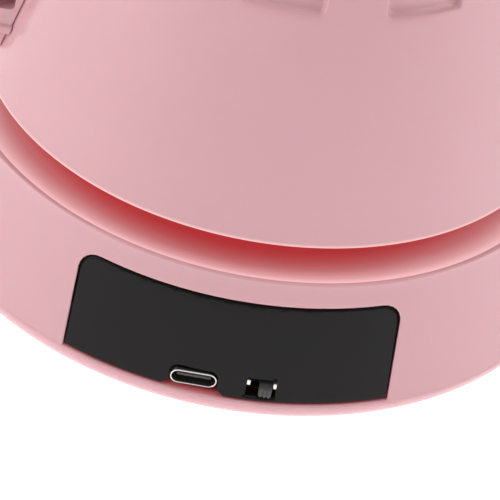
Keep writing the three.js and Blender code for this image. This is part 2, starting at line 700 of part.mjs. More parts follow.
// ---------------------------------------------------------------- moulds and heaters
// A turned donut mould: face at z, its trough and skin going away from the face along side.
function mouldOutline(face, side) {
  const skin = TROUGH_HALF + MOULD_SKIN;
  const start = THREE.MathUtils.radToDeg(Math.asin(MOULD_FLANGE / skin));
  const steps = 7;
  return [
    [0, face + side * MOULD_FLANGE],
    ...arc(TROUGH_RADIUS, face, skin, side * skin, 180 - start, start, steps),
    [MOULD_RADIUS, face + side * MOULD_FLANGE],
    [MOULD_RADIUS, face],
    ...arc(TROUGH_RADIUS, face, TROUGH_HALF, side * TROUGH_HALF, 0, 180, steps),
    [0, face],
  ];
}

function mould(name, face, side, azimuths) {
  const holes = azimuths.flatMap((azimuth) => {
    const [x, y] = polar(MOULD_SCREW_RADIUS, azimuth);
    const ends = [face - side, face + side * (MOULD_FLANGE + 1)].sort((a, b) => a - b);
    const headEnds = [face - side, face + side * 1.7].sort((a, b) => a - b);
    return [
      barZ(SCREW_RADIUS + GAP, x, y, ...ends, 8),
      barZ(SCREW_HEAD_RADIUS + GAP, x, y, ...headEnds),
    ];
  });
  return piece(name, cut(turned(mouldOutline(face, side), MOULD_ROUND), ...holes), NONSTICK);
}

const HEATER_TUBE = 3.0;

// An open ring of tubular heater under the trough, with both ends turned away from the mould.
function heater(name, face, side) {
  const level = face + side * (TROUGH_HALF + MOULD_SKIN + GAP + HEATER_TUBE);
  const points = [];
  const gapAngle = 16;
  for (let azimuth = gapAngle; azimuth <= 360 - gapAngle; azimuth += 8) {
    const [x, y] = polar(TROUGH_RADIUS, azimuth + 90);
    points.push(new THREE.Vector3(x, y, level));
  }
  const section = new THREE.Shape();
  section.absarc(0, 0, HEATER_TUBE, 0, Math.PI * 2);
  const tube = new THREE.ExtrudeGeometry(section, {
    extrudePath: new THREE.CatmullRomCurve3(points),
    steps: 36,
    curveSegments: 4,
    bevelEnabled: false,
  });
  return piece(name, solid(tube), ALUMINIUM);
}

function lowerHotParts() {
  const shieldTop = LEDGE_TOP + GAP + 0.6;
  const shieldFloor = PARTING - TROUGH_HALF - MOULD_SKIN - 2 * HEATER_TUBE - 5.5;
  const dish = LEDGE_RADIUS - GAP;
  const screwPlaces = MOULD_SCREW_AZIMUTHS.map((azimuth) => polar(MOULD_SCREW_RADIUS, azimuth));
  const shield = piece(
    "heat_shield",
    cut(
      turned([
        [4, shieldFloor],
        [dish - 4, shieldFloor],
        [dish, shieldFloor + 4],
        [dish, shieldTop - 0.6],
        [MOULD_RADIUS, shieldTop - 0.6],
        [MOULD_RADIUS, shieldTop],
        [dish - 0.6, shieldTop],
        [dish - 0.6, shieldFloor + 4.3],
        [dish - 4.3, shieldFloor + 0.6],
        [4, shieldFloor + 0.6],
      ], MOULD_ROUND),
      ...screwPlaces.map(([x, y]) => barZ(SCREW_RADIUS + GAP, x, y, LEDGE_TOP, PARTING, 8)),
    ),
    ALUMINIUM,
  );
  const thermostat = piece(
    "thermostat",
    turned([[0, -7], [3, -7], [3, -4.5], [5.4, -4.5], [5.4, 0], [0, 0]], 20),
    STEEL,
  );
  thermostat.position.set(0, 0, PARTING - MOULD_FLANGE - GAP);
  const screws = screwPlaces.map(([x, y], i) => {
    const fastener = screw(`lower_mould_screw_${i + 1}`, 6.2);
    fastener.rotation.x = Math.PI;
    fastener.position.set(x, y, PARTING - 1.7 + 0.05);
    return fastener;
  });
  return [
    mould("lower_mould", PARTING, -1, MOULD_SCREW_AZIMUTHS),
    heater("lower_heater", PARTING, -1),
    shield,
    thermostat,
    ...screws,
  ];
}

// Supply lead from the board's terminal up through the neck to the lower heater.
function heaterLead() {
  const route = [
    [13, BOARD_FRONT + 19.5, BOARD_TOP + 4],
    [13, BOARD_FRONT + 25, BOARD_TOP + 4.5],
    [8, -CELL_RADIUS - 7, BOARD_TOP + 9],
    [4, -CELL_RADIUS - 3, DECK_UNDER + 2],
    [2, -8, NECK_TOP + 8],
    [1, -3, NECK_TOP + 16],
    [0, 0, PARTING - TROUGH_HALF - MOULD_SKIN - 2 * HEATER_TUBE - 9],
  ].map((point) => new THREE.Vector3(...point));
  const section = new THREE.Shape();
  section.absarc(0, 0, 1.6, 0, Math.PI * 2);
  const lead = new THREE.ExtrudeGeometry(section, {
    extrudePath: new THREE.CatmullRomCurve3(route),
    steps: 24,
    curveSegments: 4,
    bevelEnabled: false,
  });
  return piece("heater_lead", solid(lead), WIRE);
}

// ---------------------------------------------------------------- hinge spine
const SPINE_OUTER = HINGE_X - HINGE_RADIUS;
const BEAD_HEIGHT = 2.2;
const RIB_DROP = 4; // ribs below the spine's underside
const RIB_HALF = 0.8;
const RIB_YS = [-20, -10, 0, 10, 20];
const FLUE_FLOOR = SPINE_Z + 5.7;

// Everything inside the body's cone, grown by a gap.
function bodyEnvelope() {
  const low = SKIRT_Z - 5;
  return turned([
    [0, low],
    [bodyRadius(low) + GAP, low],
    [bodyRadius(LID_TOP) + GAP, LID_TOP],
    [0, LID_TOP],
  ]);
}

function rearSpine() {
  const inner = -BODY_TOP_RADIUS / 2;
  const earRight = HINGE_X + HINGE_RADIUS;
  const outline = shapeOf([
    [SPINE_OUTER, SPINE_Z],
    [inner, SPINE_Z],
    [inner, HINGE_Z - HINGE_RADIUS],
    [earRight, HINGE_Z - HINGE_RADIUS],
    ...arc(HINGE_X, HINGE_Z, HINGE_RADIUS, HINGE_RADIUS, 0, 180, 10),
  ]);
  const bead = block(
    [SPINE_OUTER - 0.6, -SPINE_HALF - 0.6, SPINE_Z],
    [inner, SPINE_HALF + 0.6, SPINE_Z + BEAD_HEIGHT],
  );
  const ribs = RIB_YS.map((y) =>
    block(
      [SPINE_OUTER + 0.3, y - RIB_HALF, SPINE_Z - RIB_DROP],
      [inner, y + RIB_HALF, SPINE_Z + BEAD_HEIGHT / 2],
    ),
  );
  const knuckleRoom = block(
    [SPINE_OUTER - 2, -KNUCKLE_HALF - GAP, HINGE_Z - HINGE_RADIUS - 0.2],
    [inner, KNUCKLE_HALF + GAP, HINGE_Z + 20],
  );
  const flueTop = HINGE_Z - HINGE_RADIUS - 3;
  const flues = [-1, 1].map((side) => {
    const ys = [side * (SPINE_HALF - 6), side * (SPINE_HALF + 2)].sort((a, b) => a - b);
    return block([SPINE_OUTER + 2, ys[0], FLUE_FLOOR], [HINGE_X + 0.4, ys[1], flueTop]);
  });
  const screwHoles = SPINE_SCREW_ZS.map((z) =>
    barX(SCREW_RADIUS + GAP, 0, z, -bodyRadius(z) - 5.5, -bodyRadius(z) + 8, 8),
  );
  const spine = cut(
    join(slabY(outline, -SPINE_HALF, SPINE_HALF), bead, ...ribs),
    knuckleRoom,
    ...flues,
    ...screwHoles,
    bodyEnvelope(),
    barY(PIN_RADIUS + GAP, HINGE_X, HINGE_Z, -SPINE_HALF - 1, SPINE_HALF + 1, 12),
  );
  const screws = SPINE_SCREW_ZS.map((z, i) => {
    const fastener = screw(`spine_screw_${i + 1}`, 5.6);
    fastener.rotation.y = -Math.PI / 2;
    fastener.position.set(-bodyRadius(z) + WALL + 1.9, 0, z);
    return fastener;
  });
  const pin = piece(
    "hinge_pin",
    barY(PIN_RADIUS, HINGE_X, HINGE_Z, -SPINE_HALF + 1, SPINE_HALF - 1, 12),
    STEEL,
  );
  return [piece("rear_spine", spine, PINK), ...screws, pin];
}

// ---------------------------------------------------------------- lid
const LID_RADIUS = BODY_TOP_RADIUS - 0.25;
const lidRadius = (z) => LID_RADIUS - ((z - LID_BOTTOM) * BODY_FLARE) / BODY_HEIGHT;
const DOME_BASE = LID_BOTTOM + LID_SIDE;

// Outer surface of the lid, or the same surface moved inwards by an amount.
const lidSurface = (inset) => [
  [LID_RADIUS - inset, LID_BOTTOM],
  ...arc(0, DOME_BASE, lidRadius(DOME_BASE) - inset, LID_TOP - DOME_BASE - inset, 0, 84, 7),
  [0, LID_TOP - inset],
];

// Height of the dome's inner face at a radius.
function domeInside(radius) {
  const reach = lidRadius(DOME_BASE) - WALL;
  return DOME_BASE + (LID_TOP - DOME_BASE - WALL) * Math.sqrt(1 - (radius / reach) ** 2);
}

const LID_SCREW_AZIMUTHS = [0, 120, 240];
const HANDLE_SCREW_YS = [-10.2, 10.2];
const HANDLE_SCREW_Z = LID_BOTTOM + 5.6;

function lidShell() {
  const shell = turned([...lidSurface(WALL).reverse(), ...lidSurface(0)]);
  const places = LID_SCREW_AZIMUTHS.map((azimuth) => polar(MOULD_SCREW_RADIUS, azimuth));
  const bosses = places.map(([x, y]) =>
    barZ(BOSS_RADIUS - 0.4, x, y, LID_BOTTOM + MOULD_FLANGE + GAP, DOME_BASE - 1.5),
  );
  const hub = barZ(3.2, 0, 0, LID_TOP - WALL - 2.6, LID_TOP - 1);
  const bossHoles = places.map(([x, y]) =>
    barZ(SCREW_RADIUS + GAP, x, y, LID_BOTTOM, DOME_BASE - 2.5, 8),
  );
  const hubHole = barZ(SCREW_RADIUS + GAP, 0, 0, DOME_BASE, LID_TOP - WALL, 8);
  const arm = slabY(
    shapeOf([
      [-LID_RADIUS + 1.2, LID_BOTTOM],
      [-lidRadius(HINGE_Z + 5.2) + 1.2, HINGE_Z + 5.2],
      ...arc(HINGE_X, HINGE_Z, 5.2, 5.2, 90, 260, 9),
      [HINGE_X + 2, LID_BOTTOM],
    ]),
    -KNUCKLE_HALF,
    KNUCKLE_HALF,
  );
  const pinHole = barY(PIN_RADIUS + GAP, HINGE_X, HINGE_Z, -KNUCKLE_HALF - 1, KNUCKLE_HALF + 1, 12);
  const handleHoles = HANDLE_SCREW_YS.map((y) =>
    barX(SCREW_RADIUS + GAP, y, HANDLE_SCREW_Z, LID_RADIUS - 9, LID_RADIUS + 2, 8),
  );
  return piece(
    "lid_shell",
    cut(join(shell, ...bosses, hub, arm), ...bossHoles, hubHole, pinHole, ...handleHoles),
    PINK,
  );
}

function lidHotParts() {
  const shieldRadius = MOULD_SCREW_RADIUS - BOSS_RADIUS;
  const shieldMiddle = shieldRadius * 0.68;
  const shieldTop = LID_TOP - WALL - 2.6 - GAP;
  const shield = piece(
    "lid_heat_shield",
    turned([
      [SCREW_RADIUS + GAP, shieldTop - 0.6],
      [shieldMiddle, domeInside(shieldMiddle) - 1.3],
      [shieldRadius, domeInside(shieldRadius) - 3.7],
      [shieldRadius, domeInside(shieldRadius) - 2.9],
      [shieldMiddle, domeInside(shieldMiddle) - 0.7],
      [SCREW_RADIUS + GAP, shieldTop],
    ], MOULD_ROUND),
    ALUMINIUM,
  );
  const shieldScrew = screw("lid_shield_screw", 3.4);
  shieldScrew.position.set(0, 0, shieldTop - 0.7);
  const screws = LID_SCREW_AZIMUTHS.map((azimuth, i) => {
    const fastener = screw(`upper_mould_screw_${i + 1}`, 5.6);
    fastener.position.set(...polar(MOULD_SCREW_RADIUS, azimuth), LID_BOTTOM + 1.7 - 0.05);
    return fastener;
  });
  return [
    mould("upper_mould", LID_BOTTOM, 1, LID_SCREW_AZIMUTHS),
    heater("upper_heater", LID_BOTTOM, 1),
    shield,
    shieldScrew,
    ...screws,
  ];
}

// ---------------------------------------------------------------- handle and latch
const HANDLE_LOW = LID_BOTTOM + 1.5;
const HANDLE_HIGH = HANDLE_LOW + 8.5;
const HANDLE_OUT = BODY_TOP_RADIUS + HANDLE_REACH;
const LATCH_X = HANDLE_OUT - 4.8;
const LATCH_Z = HANDLE_LOW + 3.6;

function lidHandle() {
  const outline = shapeOf([
    [LID_RADIUS / 2, HANDLE_LOW],
    ...arc(HANDLE_OUT - 2.5, HANDLE_LOW + 2.5, 2.5, 2.5, -90, 0, 4),
    ...arc(HANDLE_OUT - 4, HANDLE_HIGH - 4, 4, 4, 0, 90, 4),
    [LID_RADIUS / 2, HANDLE_HIGH],
  ]);
  const lidEnvelope = turned([
    [0, LID_BOTTOM - 5],
    [lidRadius(LID_BOTTOM - 5) + GAP, LID_BOTTOM - 5],
    [lidRadius(DOME_BASE) + GAP, DOME_BASE],
    [0, DOME_BASE + 8],
  ]);
  const slot = block(
    [LATCH_X - 5, -LATCH_HALF - GAP, HANDLE_LOW - 5],
    [HANDLE_OUT + 5, LATCH_HALF + GAP, HANDLE_HIGH + 5],
  );
  const pinHole = barY(PIN_RADIUS + GAP, LATCH_X, LATCH_Z, -HANDLE_HALF - 1, HANDLE_HALF + 1, 12);
  const screwHoles = HANDLE_SCREW_YS.map((y) =>
    barX(SCREW_RADIUS + GAP, y, HANDLE_SCREW_Z, LID_RADIUS - 9, LID_RADIUS + 4.4, 8),
  );
  const handle = cut(slabY(outline, -HANDLE_HALF, HANDLE_HALF), lidEnvelope, slot, pinHole, ...screwHoles);
  const screws = HANDLE_SCREW_YS.map((y, i) => {
    const headEdge = Math.abs(y) + SCREW_HEAD_RADIUS;
    const innerFace = Math.sqrt((lidRadius(HANDLE_SCREW_Z) - WALL) ** 2 - headEdge ** 2);
    const fastener = screw(`handle_screw_${i + 1}`, 6.2);
    fastener.rotation.y = Math.PI / 2;
    fastener.position.set(innerFace - 0.6, y, HANDLE_SCREW_Z);
    return fastener;
  });
  const pin = piece(
    "latch_pin",
    barY(PIN_RADIUS, LATCH_X, LATCH_Z, -HANDLE_HALF + 0.6, HANDLE_HALF - 0.6, 12),
    STEEL,
  );
  return [piece("lid_handle", handle, PINK), ...screws, pin];
}

const CATCH_ROOT = BODY_TOP_RADIUS - TOP_WALL / 2 - 0.6;
const CATCH_OUT = BODY_TOP_RADIUS + 5.35;
const HOOK_DROP = 1.3; // hook below the catch
const HOOK_CLEAR = 0.75; // hook outside the catch as the latch hangs
const BARREL_RADIUS = 3.2;
const SHANK_IN = -0.9; // shank faces from the pin's axis
const SHANK_OUT = 1.6;
const TAB_HALF = 1.2;
const TAB_TOP = 6.2;

function catchLedge() {
  const outline = shapeOf([
    [CATCH_ROOT, CATCH_Z],
    [CATCH_OUT, CATCH_Z],
    [CATCH_OUT, CATCH_Z + 1.2],
    [CATCH_OUT - 1.6, CATCH_Z + CATCH_THICK],
    [CATCH_ROOT, CATCH_Z + CATCH_THICK],
  ]);
  return slabY(outline, -LATCH_HALF - 1.5, LATCH_HALF + 1.5);
}

// The latch hangs free beside the catch. Turned inwards, its hook goes under the catch ledge.
function latch() {
  const at = ([x, z]) => [LATCH_X + x, LATCH_Z + z];
  const hookTop = CATCH_Z - HOOK_DROP - LATCH_Z;
  const hookTip = CATCH_OUT + HOOK_CLEAR - LATCH_X;
  const barrel = (from, to, steps) => arc(LATCH_X, LATCH_Z, BARREL_RADIUS, BARREL_RADIUS, from, to, steps);
  const outline = shapeOf([
    at([SHANK_OUT, hookTop - 0.9]),
    at([SHANK_OUT + 2.4, hookTop - 3.0]),
    at([SHANK_OUT + 0.6, hookTop - 3.8]),
    at([SHANK_IN - 0.6, hookTop - 2.8]),
    at([hookTip, hookTop - 1.0]),
    at([hookTip, hookTop]),
    at([SHANK_IN, hookTop]),
    ...barrel(254, 112, 5),
    at([-TAB_HALF, TAB_TOP]),
    at([TAB_HALF, TAB_TOP]),
    ...barrel(68, -60, 5),
  ]);
  const clip = cut(
    slabY(outline, -LATCH_HALF, LATCH_HALF),
    barY(PIN_RADIUS + GAP, LATCH_X, LATCH_Z, -LATCH_HALF - 1, LATCH_HALF + 1, 12),
  );
  return piece("lid_latch", clip, PINK);
}

// ---------------------------------------------------------------- assembly
const donutMaker = new THREE.Group();
const base = new THREE.Group();
base.add(
  baseShell(),
  bottomCover(),
  ...feetAndCoverScrews(),
  controlPanel(),
  chargingSocket(),
  powerSwitch(),
  ...mainBoard(),
  ...battery(),
);
const body = new THREE.Group();
body.add(
  upperShell(),
  ...neckScrews(),
  ...lowerHotParts(),
  heaterLead(),
  ...rearSpine(),
);
const lid = new THREE.Group();
lid.add(lidShell(), ...lidHotParts(), ...lidHandle(), latch());
donutMaker.add(base, body, lid);

export default donutMaker;
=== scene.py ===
"""The looks of a small rechargeable donut maker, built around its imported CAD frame.

Every shell, panel, mould and fitting that shows is rebuilt here as a fine mesh with rounded edges
and a procedural material, at the place that its CAD solid holds. Sizes are in millimetres until a
mesh is made. +Z is up, the control panel faces -Y, the hinge is at -X and the handle at +X.
"""

import json  # noqa: E402
import logging  # noqa: E402
import math  # noqa: E402
from collections.abc import Callable, Iterable, Sequence  # noqa: E402
from dataclasses import dataclass, field  # noqa: E402
from enum import Enum  # noqa: E402

import bmesh  # noqa: E402
import bpy  # noqa: E402
from mathutils import Matrix, Vector  # noqa: E402
from mathutils.geometry import delaunay_2d_cdt  # noqa: E402


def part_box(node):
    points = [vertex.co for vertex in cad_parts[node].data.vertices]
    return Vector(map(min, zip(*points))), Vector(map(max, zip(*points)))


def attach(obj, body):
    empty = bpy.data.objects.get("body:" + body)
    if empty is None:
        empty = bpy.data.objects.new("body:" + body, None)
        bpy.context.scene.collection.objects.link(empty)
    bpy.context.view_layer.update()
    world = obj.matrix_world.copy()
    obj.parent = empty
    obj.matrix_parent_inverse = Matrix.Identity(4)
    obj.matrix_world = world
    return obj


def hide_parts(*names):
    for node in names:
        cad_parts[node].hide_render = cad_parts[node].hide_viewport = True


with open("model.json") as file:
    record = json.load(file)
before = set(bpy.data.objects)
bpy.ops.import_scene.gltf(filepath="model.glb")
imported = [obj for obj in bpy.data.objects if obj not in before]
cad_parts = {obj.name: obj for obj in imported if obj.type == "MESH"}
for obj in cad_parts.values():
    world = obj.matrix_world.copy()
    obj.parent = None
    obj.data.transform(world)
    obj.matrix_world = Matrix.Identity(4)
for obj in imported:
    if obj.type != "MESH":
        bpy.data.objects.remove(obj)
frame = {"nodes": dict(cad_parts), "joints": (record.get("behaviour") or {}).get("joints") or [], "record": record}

LOG = logging.getLogger("donut_maker")
MM = 0.001
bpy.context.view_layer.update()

Point2 = tuple[float, float]
Corner = tuple[float, float, float]
Place = Callable[[float, float, float], Vector]
Color = tuple[float, float, float]
Point3 = tuple[float, float, float]
Socket = bpy.types.NodeSocket
Piece = bpy.types.Object

# Sizes that several pieces share, in millimetres.
PARTING = 96.0
LID_LOW = 96.5
CONE_DROP = 15.9 / 59.9
PIN_RADIUS = 1.5
PIN_HOLE = 1.8
SCREW_HOLE = 1.5
SCREW_SEAT = 2.5
THROUGH = 30.0
RUNNING_GAP = 0.3


class Body(Enum):
    """The rigid bodies of the frame that a piece can ride on."""

    BASE = "base"
    LID = "lid"
    LATCH = "latch"
    KNOB = "knob"


class Slot(Enum):
    """The material slots of the record."""

    PINK = "pink_gloss"
    PANEL = "panel_black"
    DARK = "dark_plastic"
    STEEL = "steel"
    ALUMINIUM = "plain_aluminium"
    NONSTICK = "nonstick_cast"
    RUBBER = "rubber"
    BOARD = "board_green"
    CELL = "cell_sleeve"
    WIRE = "wire_red"


# ---------------------------------------------------------------- plane outlines
def unit(a: Point2, b: Point2) -> tuple[float, float, float]:
    """Direction and distance from one point to another.

    Args:
        a: The start.
        b: The end.

    Returns:
        The two parts of the unit direction, and the distance.
    """
    dx, dy = b[0] - a[0], b[1] - a[1]
    length = math.hypot(dx, dy) or 1e-9
    return dx / length, dy / length, length


def rounded_corner(
    before: Point2, corner: Point2, after: Point2, radius: float, steps: int
) -> list[Point2]:
    """Points of a corner's fillet.

    Args:
        before: The point before the corner.
        corner: The sharp corner.
        after: The point after the corner.
        radius: The fillet's radius, limited by the two edges.
        steps: How many chords the fillet has.

    Returns:
        steps + 1 points, from the first tangent point to the second.
    """
    ux, uy, first = unit(corner, before)
    vx, vy, second = unit(corner, after)
    cosine = max(-1.0, min(1.0, ux * vx + uy * vy))
    half = math.acos(cosine) / 2
    if half < 1e-3 or half > math.pi / 2 - 1e-3:
        return [corner] * (steps + 1)
    reach = min(max(radius, 0.004) / math.tan(half), 0.48 * first, 0.48 * second)
    radius = reach * math.tan(half)
    bx, by, _ = unit((0, 0), (ux + vx, uy + vy))
    centre = (
        corner[0] + bx * radius / math.sin(half),
        corner[1] + by * radius / math.sin(half),
    )
    start = math.atan2(corner[1] + uy * reach - centre[1], corner[0] + ux * reach - centre[0])
    stop = math.atan2(corner[1] + vy * reach - centre[1], corner[0] + vx * reach - centre[0])
    sweep = (stop - start + math.pi) % (2 * math.pi) - math.pi
    return [
        (
            centre[0] + radius * math.cos(start + sweep * i / steps),
            centre[1] + radius * math.sin(start + sweep * i / steps),
        )
        for i in range(steps + 1)
    ]


@dataclass(frozen=True)
class Outline:
    """A closed outline of rounded corners, counter-clockwise, that can be offset.

    Attributes:
        corners: x, y and fillet radius of each corner.
        spacing: Longest step along a straight edge.
        steps: Chords in each fillet.
    """

    corners: tuple[Corner, ...]
    spacing: float = 1.6
    steps: int = 5

    def loop(self, grow: float = 0.0) -> list[Point2]:
        """The outline's points.

        Args:
            grow: How far the outline moves outwards.

        Returns:
            The points, of which there are equally many at every offset.
        """
        count = len(self.corners)
        shifted: list[tuple[Point2, Point2]] = []
        for i in range(count):
            a, b = self.corners[i], self.corners[(i + 1) % count]
            dx, dy, _ = unit(a[:2], b[:2])
            shifted.append(((a[0] + dy * grow, a[1] - dx * grow), (dx, dy)))
        moved: list[Point2] = []
        for i in range(count):
            (px, py), (dx, dy) = shifted[i - 1]
            (qx, qy), (ex, ey) = shifted[i]
            cross = dx * ey - dy * ex
            if abs(cross) < 1e-6:
                moved.append((qx, qy))
                continue
            along = ((qx - px) * ey - (qy - py) * ex) / cross
            moved.append((px + dx * along, py + dy * along))
        points: list[Point2] = []
        for i in range(count):
            before, here, after = moved[i - 1], moved[i], moved[(i + 1) % count]
            arc = rounded_corner(before, here, after, self._radius(i, grow), self.steps)
            points.extend(arc)
            straight = unit(self.corners[i][:2], self.corners[(i + 1) % count][:2])[2]
            pieces = max(1, round(straight / self.spacing))
            beyond = moved[(i + 2) % count]
            following = rounded_corner(here, after, beyond, self._radius(i + 1, grow), self.steps)
            start, stop = arc[-1], following[0]
            points.extend(
                (
                    start[0] + (stop[0] - start[0]) * k / pieces,
                    start[1] + (stop[1] - start[1]) * k / pieces,
                )
                for k in range(1, pieces)
            )
        return points

    def _radius(self, i: int, grow: float) -> float:
        """Fillet radius at an offset, whose size is added at a convex corner and taken off elsewhere.

        Args:
            i: The corner's number.
            grow: How far the outline moves outwards.

        Returns:
            The radius.
        """
        count = len(self.corners)
        a, b, c = self.corners[(i - 1) % count], self.corners[i % count], self.corners[(i + 1) % count]
        turn = (b[0] - a[0]) * (c[1] - b[1]) - (b[1] - a[1]) * (c[0] - b[0])
        return max(b[2] + math.copysign(grow, turn), 0.01)


def profile(corners: Sequence[Corner], spacing: float = 2.0, steps: int = 5) -> list[Point2]:
    """An open line of rounded corners with its long edges divided.

    Args:
        corners: x, y and fillet radius of each corner; the ends stay sharp.
        spacing: Longest step along an edge.
        steps: Chords in each fillet.

    Returns:
        The points from the first corner to the last.
    """
    points: list[Point2] = [corners[0][:2]]
    for i in range(1, len(corners)):
        here = corners[i][:2]
        if i + 1 < len(corners) and corners[i][2] > 0:
            arc = rounded_corner(corners[i - 1][:2], here, corners[i + 1][:2], corners[i][2], steps)
        else:
            arc = [here]
        dx, dy, length = unit(points[-1], arc[0])
        pieces = max(1, math.ceil(length / spacing))
        start = points[-1]
        points.extend(
            (start[0] + dx * length * k / pieces, start[1] + dy * length * k / pieces)
            for k in range(1, pieces)
        )
        points.extend(arc)
    return points


def inside(point: Point2, polygon: Sequence[Point2]) -> bool:
    """Whether a point lies in a polygon.

    Args:
        point: The point.
        polygon: The polygon's corners.

    Returns:
        True if it does.
    """
    x, y = point
    found = False
    for (ax, ay), (bx, by) in zip(polygon, [*polygon[1:], polygon[0]], strict=True):
        if (ay > y) != (by > y) and x < (bx - ax) * (y - ay) / (by - ay) + ax:
            found = not found
    return found


def far_from(point: Point2, polygon: Sequence[Point2], distance: float) -> bool:
    """Whether a point keeps a distance from every corner of a polygon.

    Args:
        point: The point.
        polygon: The polygon's corners.
        distance: The distance.

    Returns:
        True if it does.
    """
    return all(math.hypot(point[0] - x, point[1] - y) > distance for x, y in polygon)


def triangles(
    outer: Sequence[Point2], inner: Sequence[Point2], extra: Sequence[Point2]
) -> list[tuple[int, int, int]]:
    """Triangulates the area inside one loop and outside another.

    Args:
        outer: The outer loop.
        inner: The loop round the part that stays open, or nothing.
        extra: Points between the two.

    Returns:
        Triangles that number the points as outer, inner, extra.
    """
    points = [*outer, *inner, *extra]
    edges = [(i, (i + 1) % len(outer)) for i in range(len(outer))]
    base = len(outer)
    edges += [(base + i, base + (i + 1) % len(inner)) for i in range(len(inner))]
    made = delaunay_2d_cdt([Vector(p) for p in points], edges, [], 0, 1e-7, True)
    corners, faces, origins = made[0], made[2], made[3]
    result = []
    for face in faces:
        middle = (
            sum(corners[k].x for k in face) / len(face),
            sum(corners[k].y for k in face) / len(face),
        )
        if not inside(middle, outer) or (inner and inside(middle, inner)):
            continue
        if all(origins[k] for k in face):
            result.append(tuple(origins[k][0] for k in face))
    return result


def scattered(outline: Sequence[Point2], spacing: float) -> list[Point2]:
    """A triangular lattice of points inside an outline.

    Args:
        outline: The outline.
        spacing: Distance between the points.

    Returns:
        The points that keep clear of the outline.
    """
    xs, ys = [p[0] for p in outline], [p[1] for p in outline]
    points = []
    rows = int((max(ys) - min(ys)) / (spacing * 0.87)) + 1
    columns = int((max(xs) - min(xs)) / spacing) + 2
    for row in range(1, rows):
        for column in range(columns):
            point = (
                min(xs) + spacing * (column + 0.5 * (row % 2)),
                min(ys) + spacing * 0.87 * row,
            )
            if inside(point, outline) and far_from(point, outline, 0.55 * spacing):
                points.append(point)
    return points


# ---------------------------------------------------------------- meshes
class Shape:
    """A mesh under construction, in millimetres."""

    def __init__(self) -> None:
        """Starts empty."""
        self.points: list[Vector] = []
        self.faces: list[tuple[int, ...]] = []

    def loop(self, points: Iterable[Vector]) -> list[int]:
        """Adds points.

        Args:
            points: The points to add.

        Returns:
            Their numbers.
        """
        start = len(self.points)
        self.points.extend(points)
        return list(range(start, len(self.points)))

    def bridge(self, first: Sequence[int], second: Sequence[int]) -> None:
        """Joins two closed loops of equally many points with quads.

        Args:
            first: One loop.
            second: The other loop.
        """
        count = len(first)
        for i in range(count):
            k = (i + 1) % count
            self.faces.append((first[i], first[k], second[k], second[i]))

    def fill(
        self,
        loop: Sequence[int],
        plane: Sequence[Point2],
        spacing: float,
        place: Callable[[Point2], Vector],
    ) -> None:
        """Closes a loop with triangles that follow a surface.

        Args:
            loop: The loop's point numbers.
            plane: The same loop in the plane.
            spacing: Distance between the points put inside.
            place: Takes a plane point to its place in space.
        """
        extra = scattered(plane, spacing)
        numbers = [*loop, *self.loop(place(p) for p in extra)]
        self.faces.extend(tuple(numbers[k] for k in face) for face in triangles(plane, [], extra))

    def swept(self, outline: Outline, steps: Sequence[Point2], place: Place, spacing: float = 3.0) -> None:
        """A closed solid whose section is an outline at a series of offsets.

        Args:
            outline: The section.
            steps: Offset of the outline and height along the sweep, one pair for each loop.
            place: Takes plane x, plane y and height to a place in space.
            spacing: Distance between the points inside the end faces.
        """
        loops = []
        for grow, height in steps:
            plane = outline.loop(grow)
            loops.append(self.loop(place(x, y, height) for x, y in plane))
        for first, second in zip(loops, loops[1:], strict=False):
            self.bridge(first, second)
        for loop, (grow, height) in ((loops[0], steps[0]), (loops[-1], steps[-1])):
            self.fill(loop, outline.loop(grow), spacing, lambda p, h=height: place(p[0], p[1], h))

    def mesh(self, name: str) -> bpy.types.Mesh:
        """Makes the mesh data, in metres, with faces turned out and shaded smooth.

        Args:
            name: The mesh's name.

        Returns:
            The mesh.
        """
        data = bpy.data.meshes.new(name)
        data.from_pydata([p * MM for p in self.points], [], self.faces)
        work = bmesh.new()
        work.from_mesh(data)
        bmesh.ops.remove_doubles(work, verts=work.verts, dist=2e-7)
        loose = [v for v in work.verts if not v.link_faces]
        bmesh.ops.delete(work, geom=loose, context="VERTS")
        bmesh.ops.recalc_face_normals(work, faces=work.faces)
        for face in work.faces:
            face.smooth = True
        work.to_mesh(data)
        work.free()
        return data


def on_axis(radius: float, azimuth: float, z: float) -> Vector:
    """A point round the Z axis.

    Args:
        radius: Its distance from the axis.
        azimuth: Its angle in degrees, from -Y towards +X.
        z: Its height.

    Returns:
        The point.
    """
    angle = math.radians(azimuth)
    return Vector((radius * math.sin(angle), -radius * math.cos(angle), z))


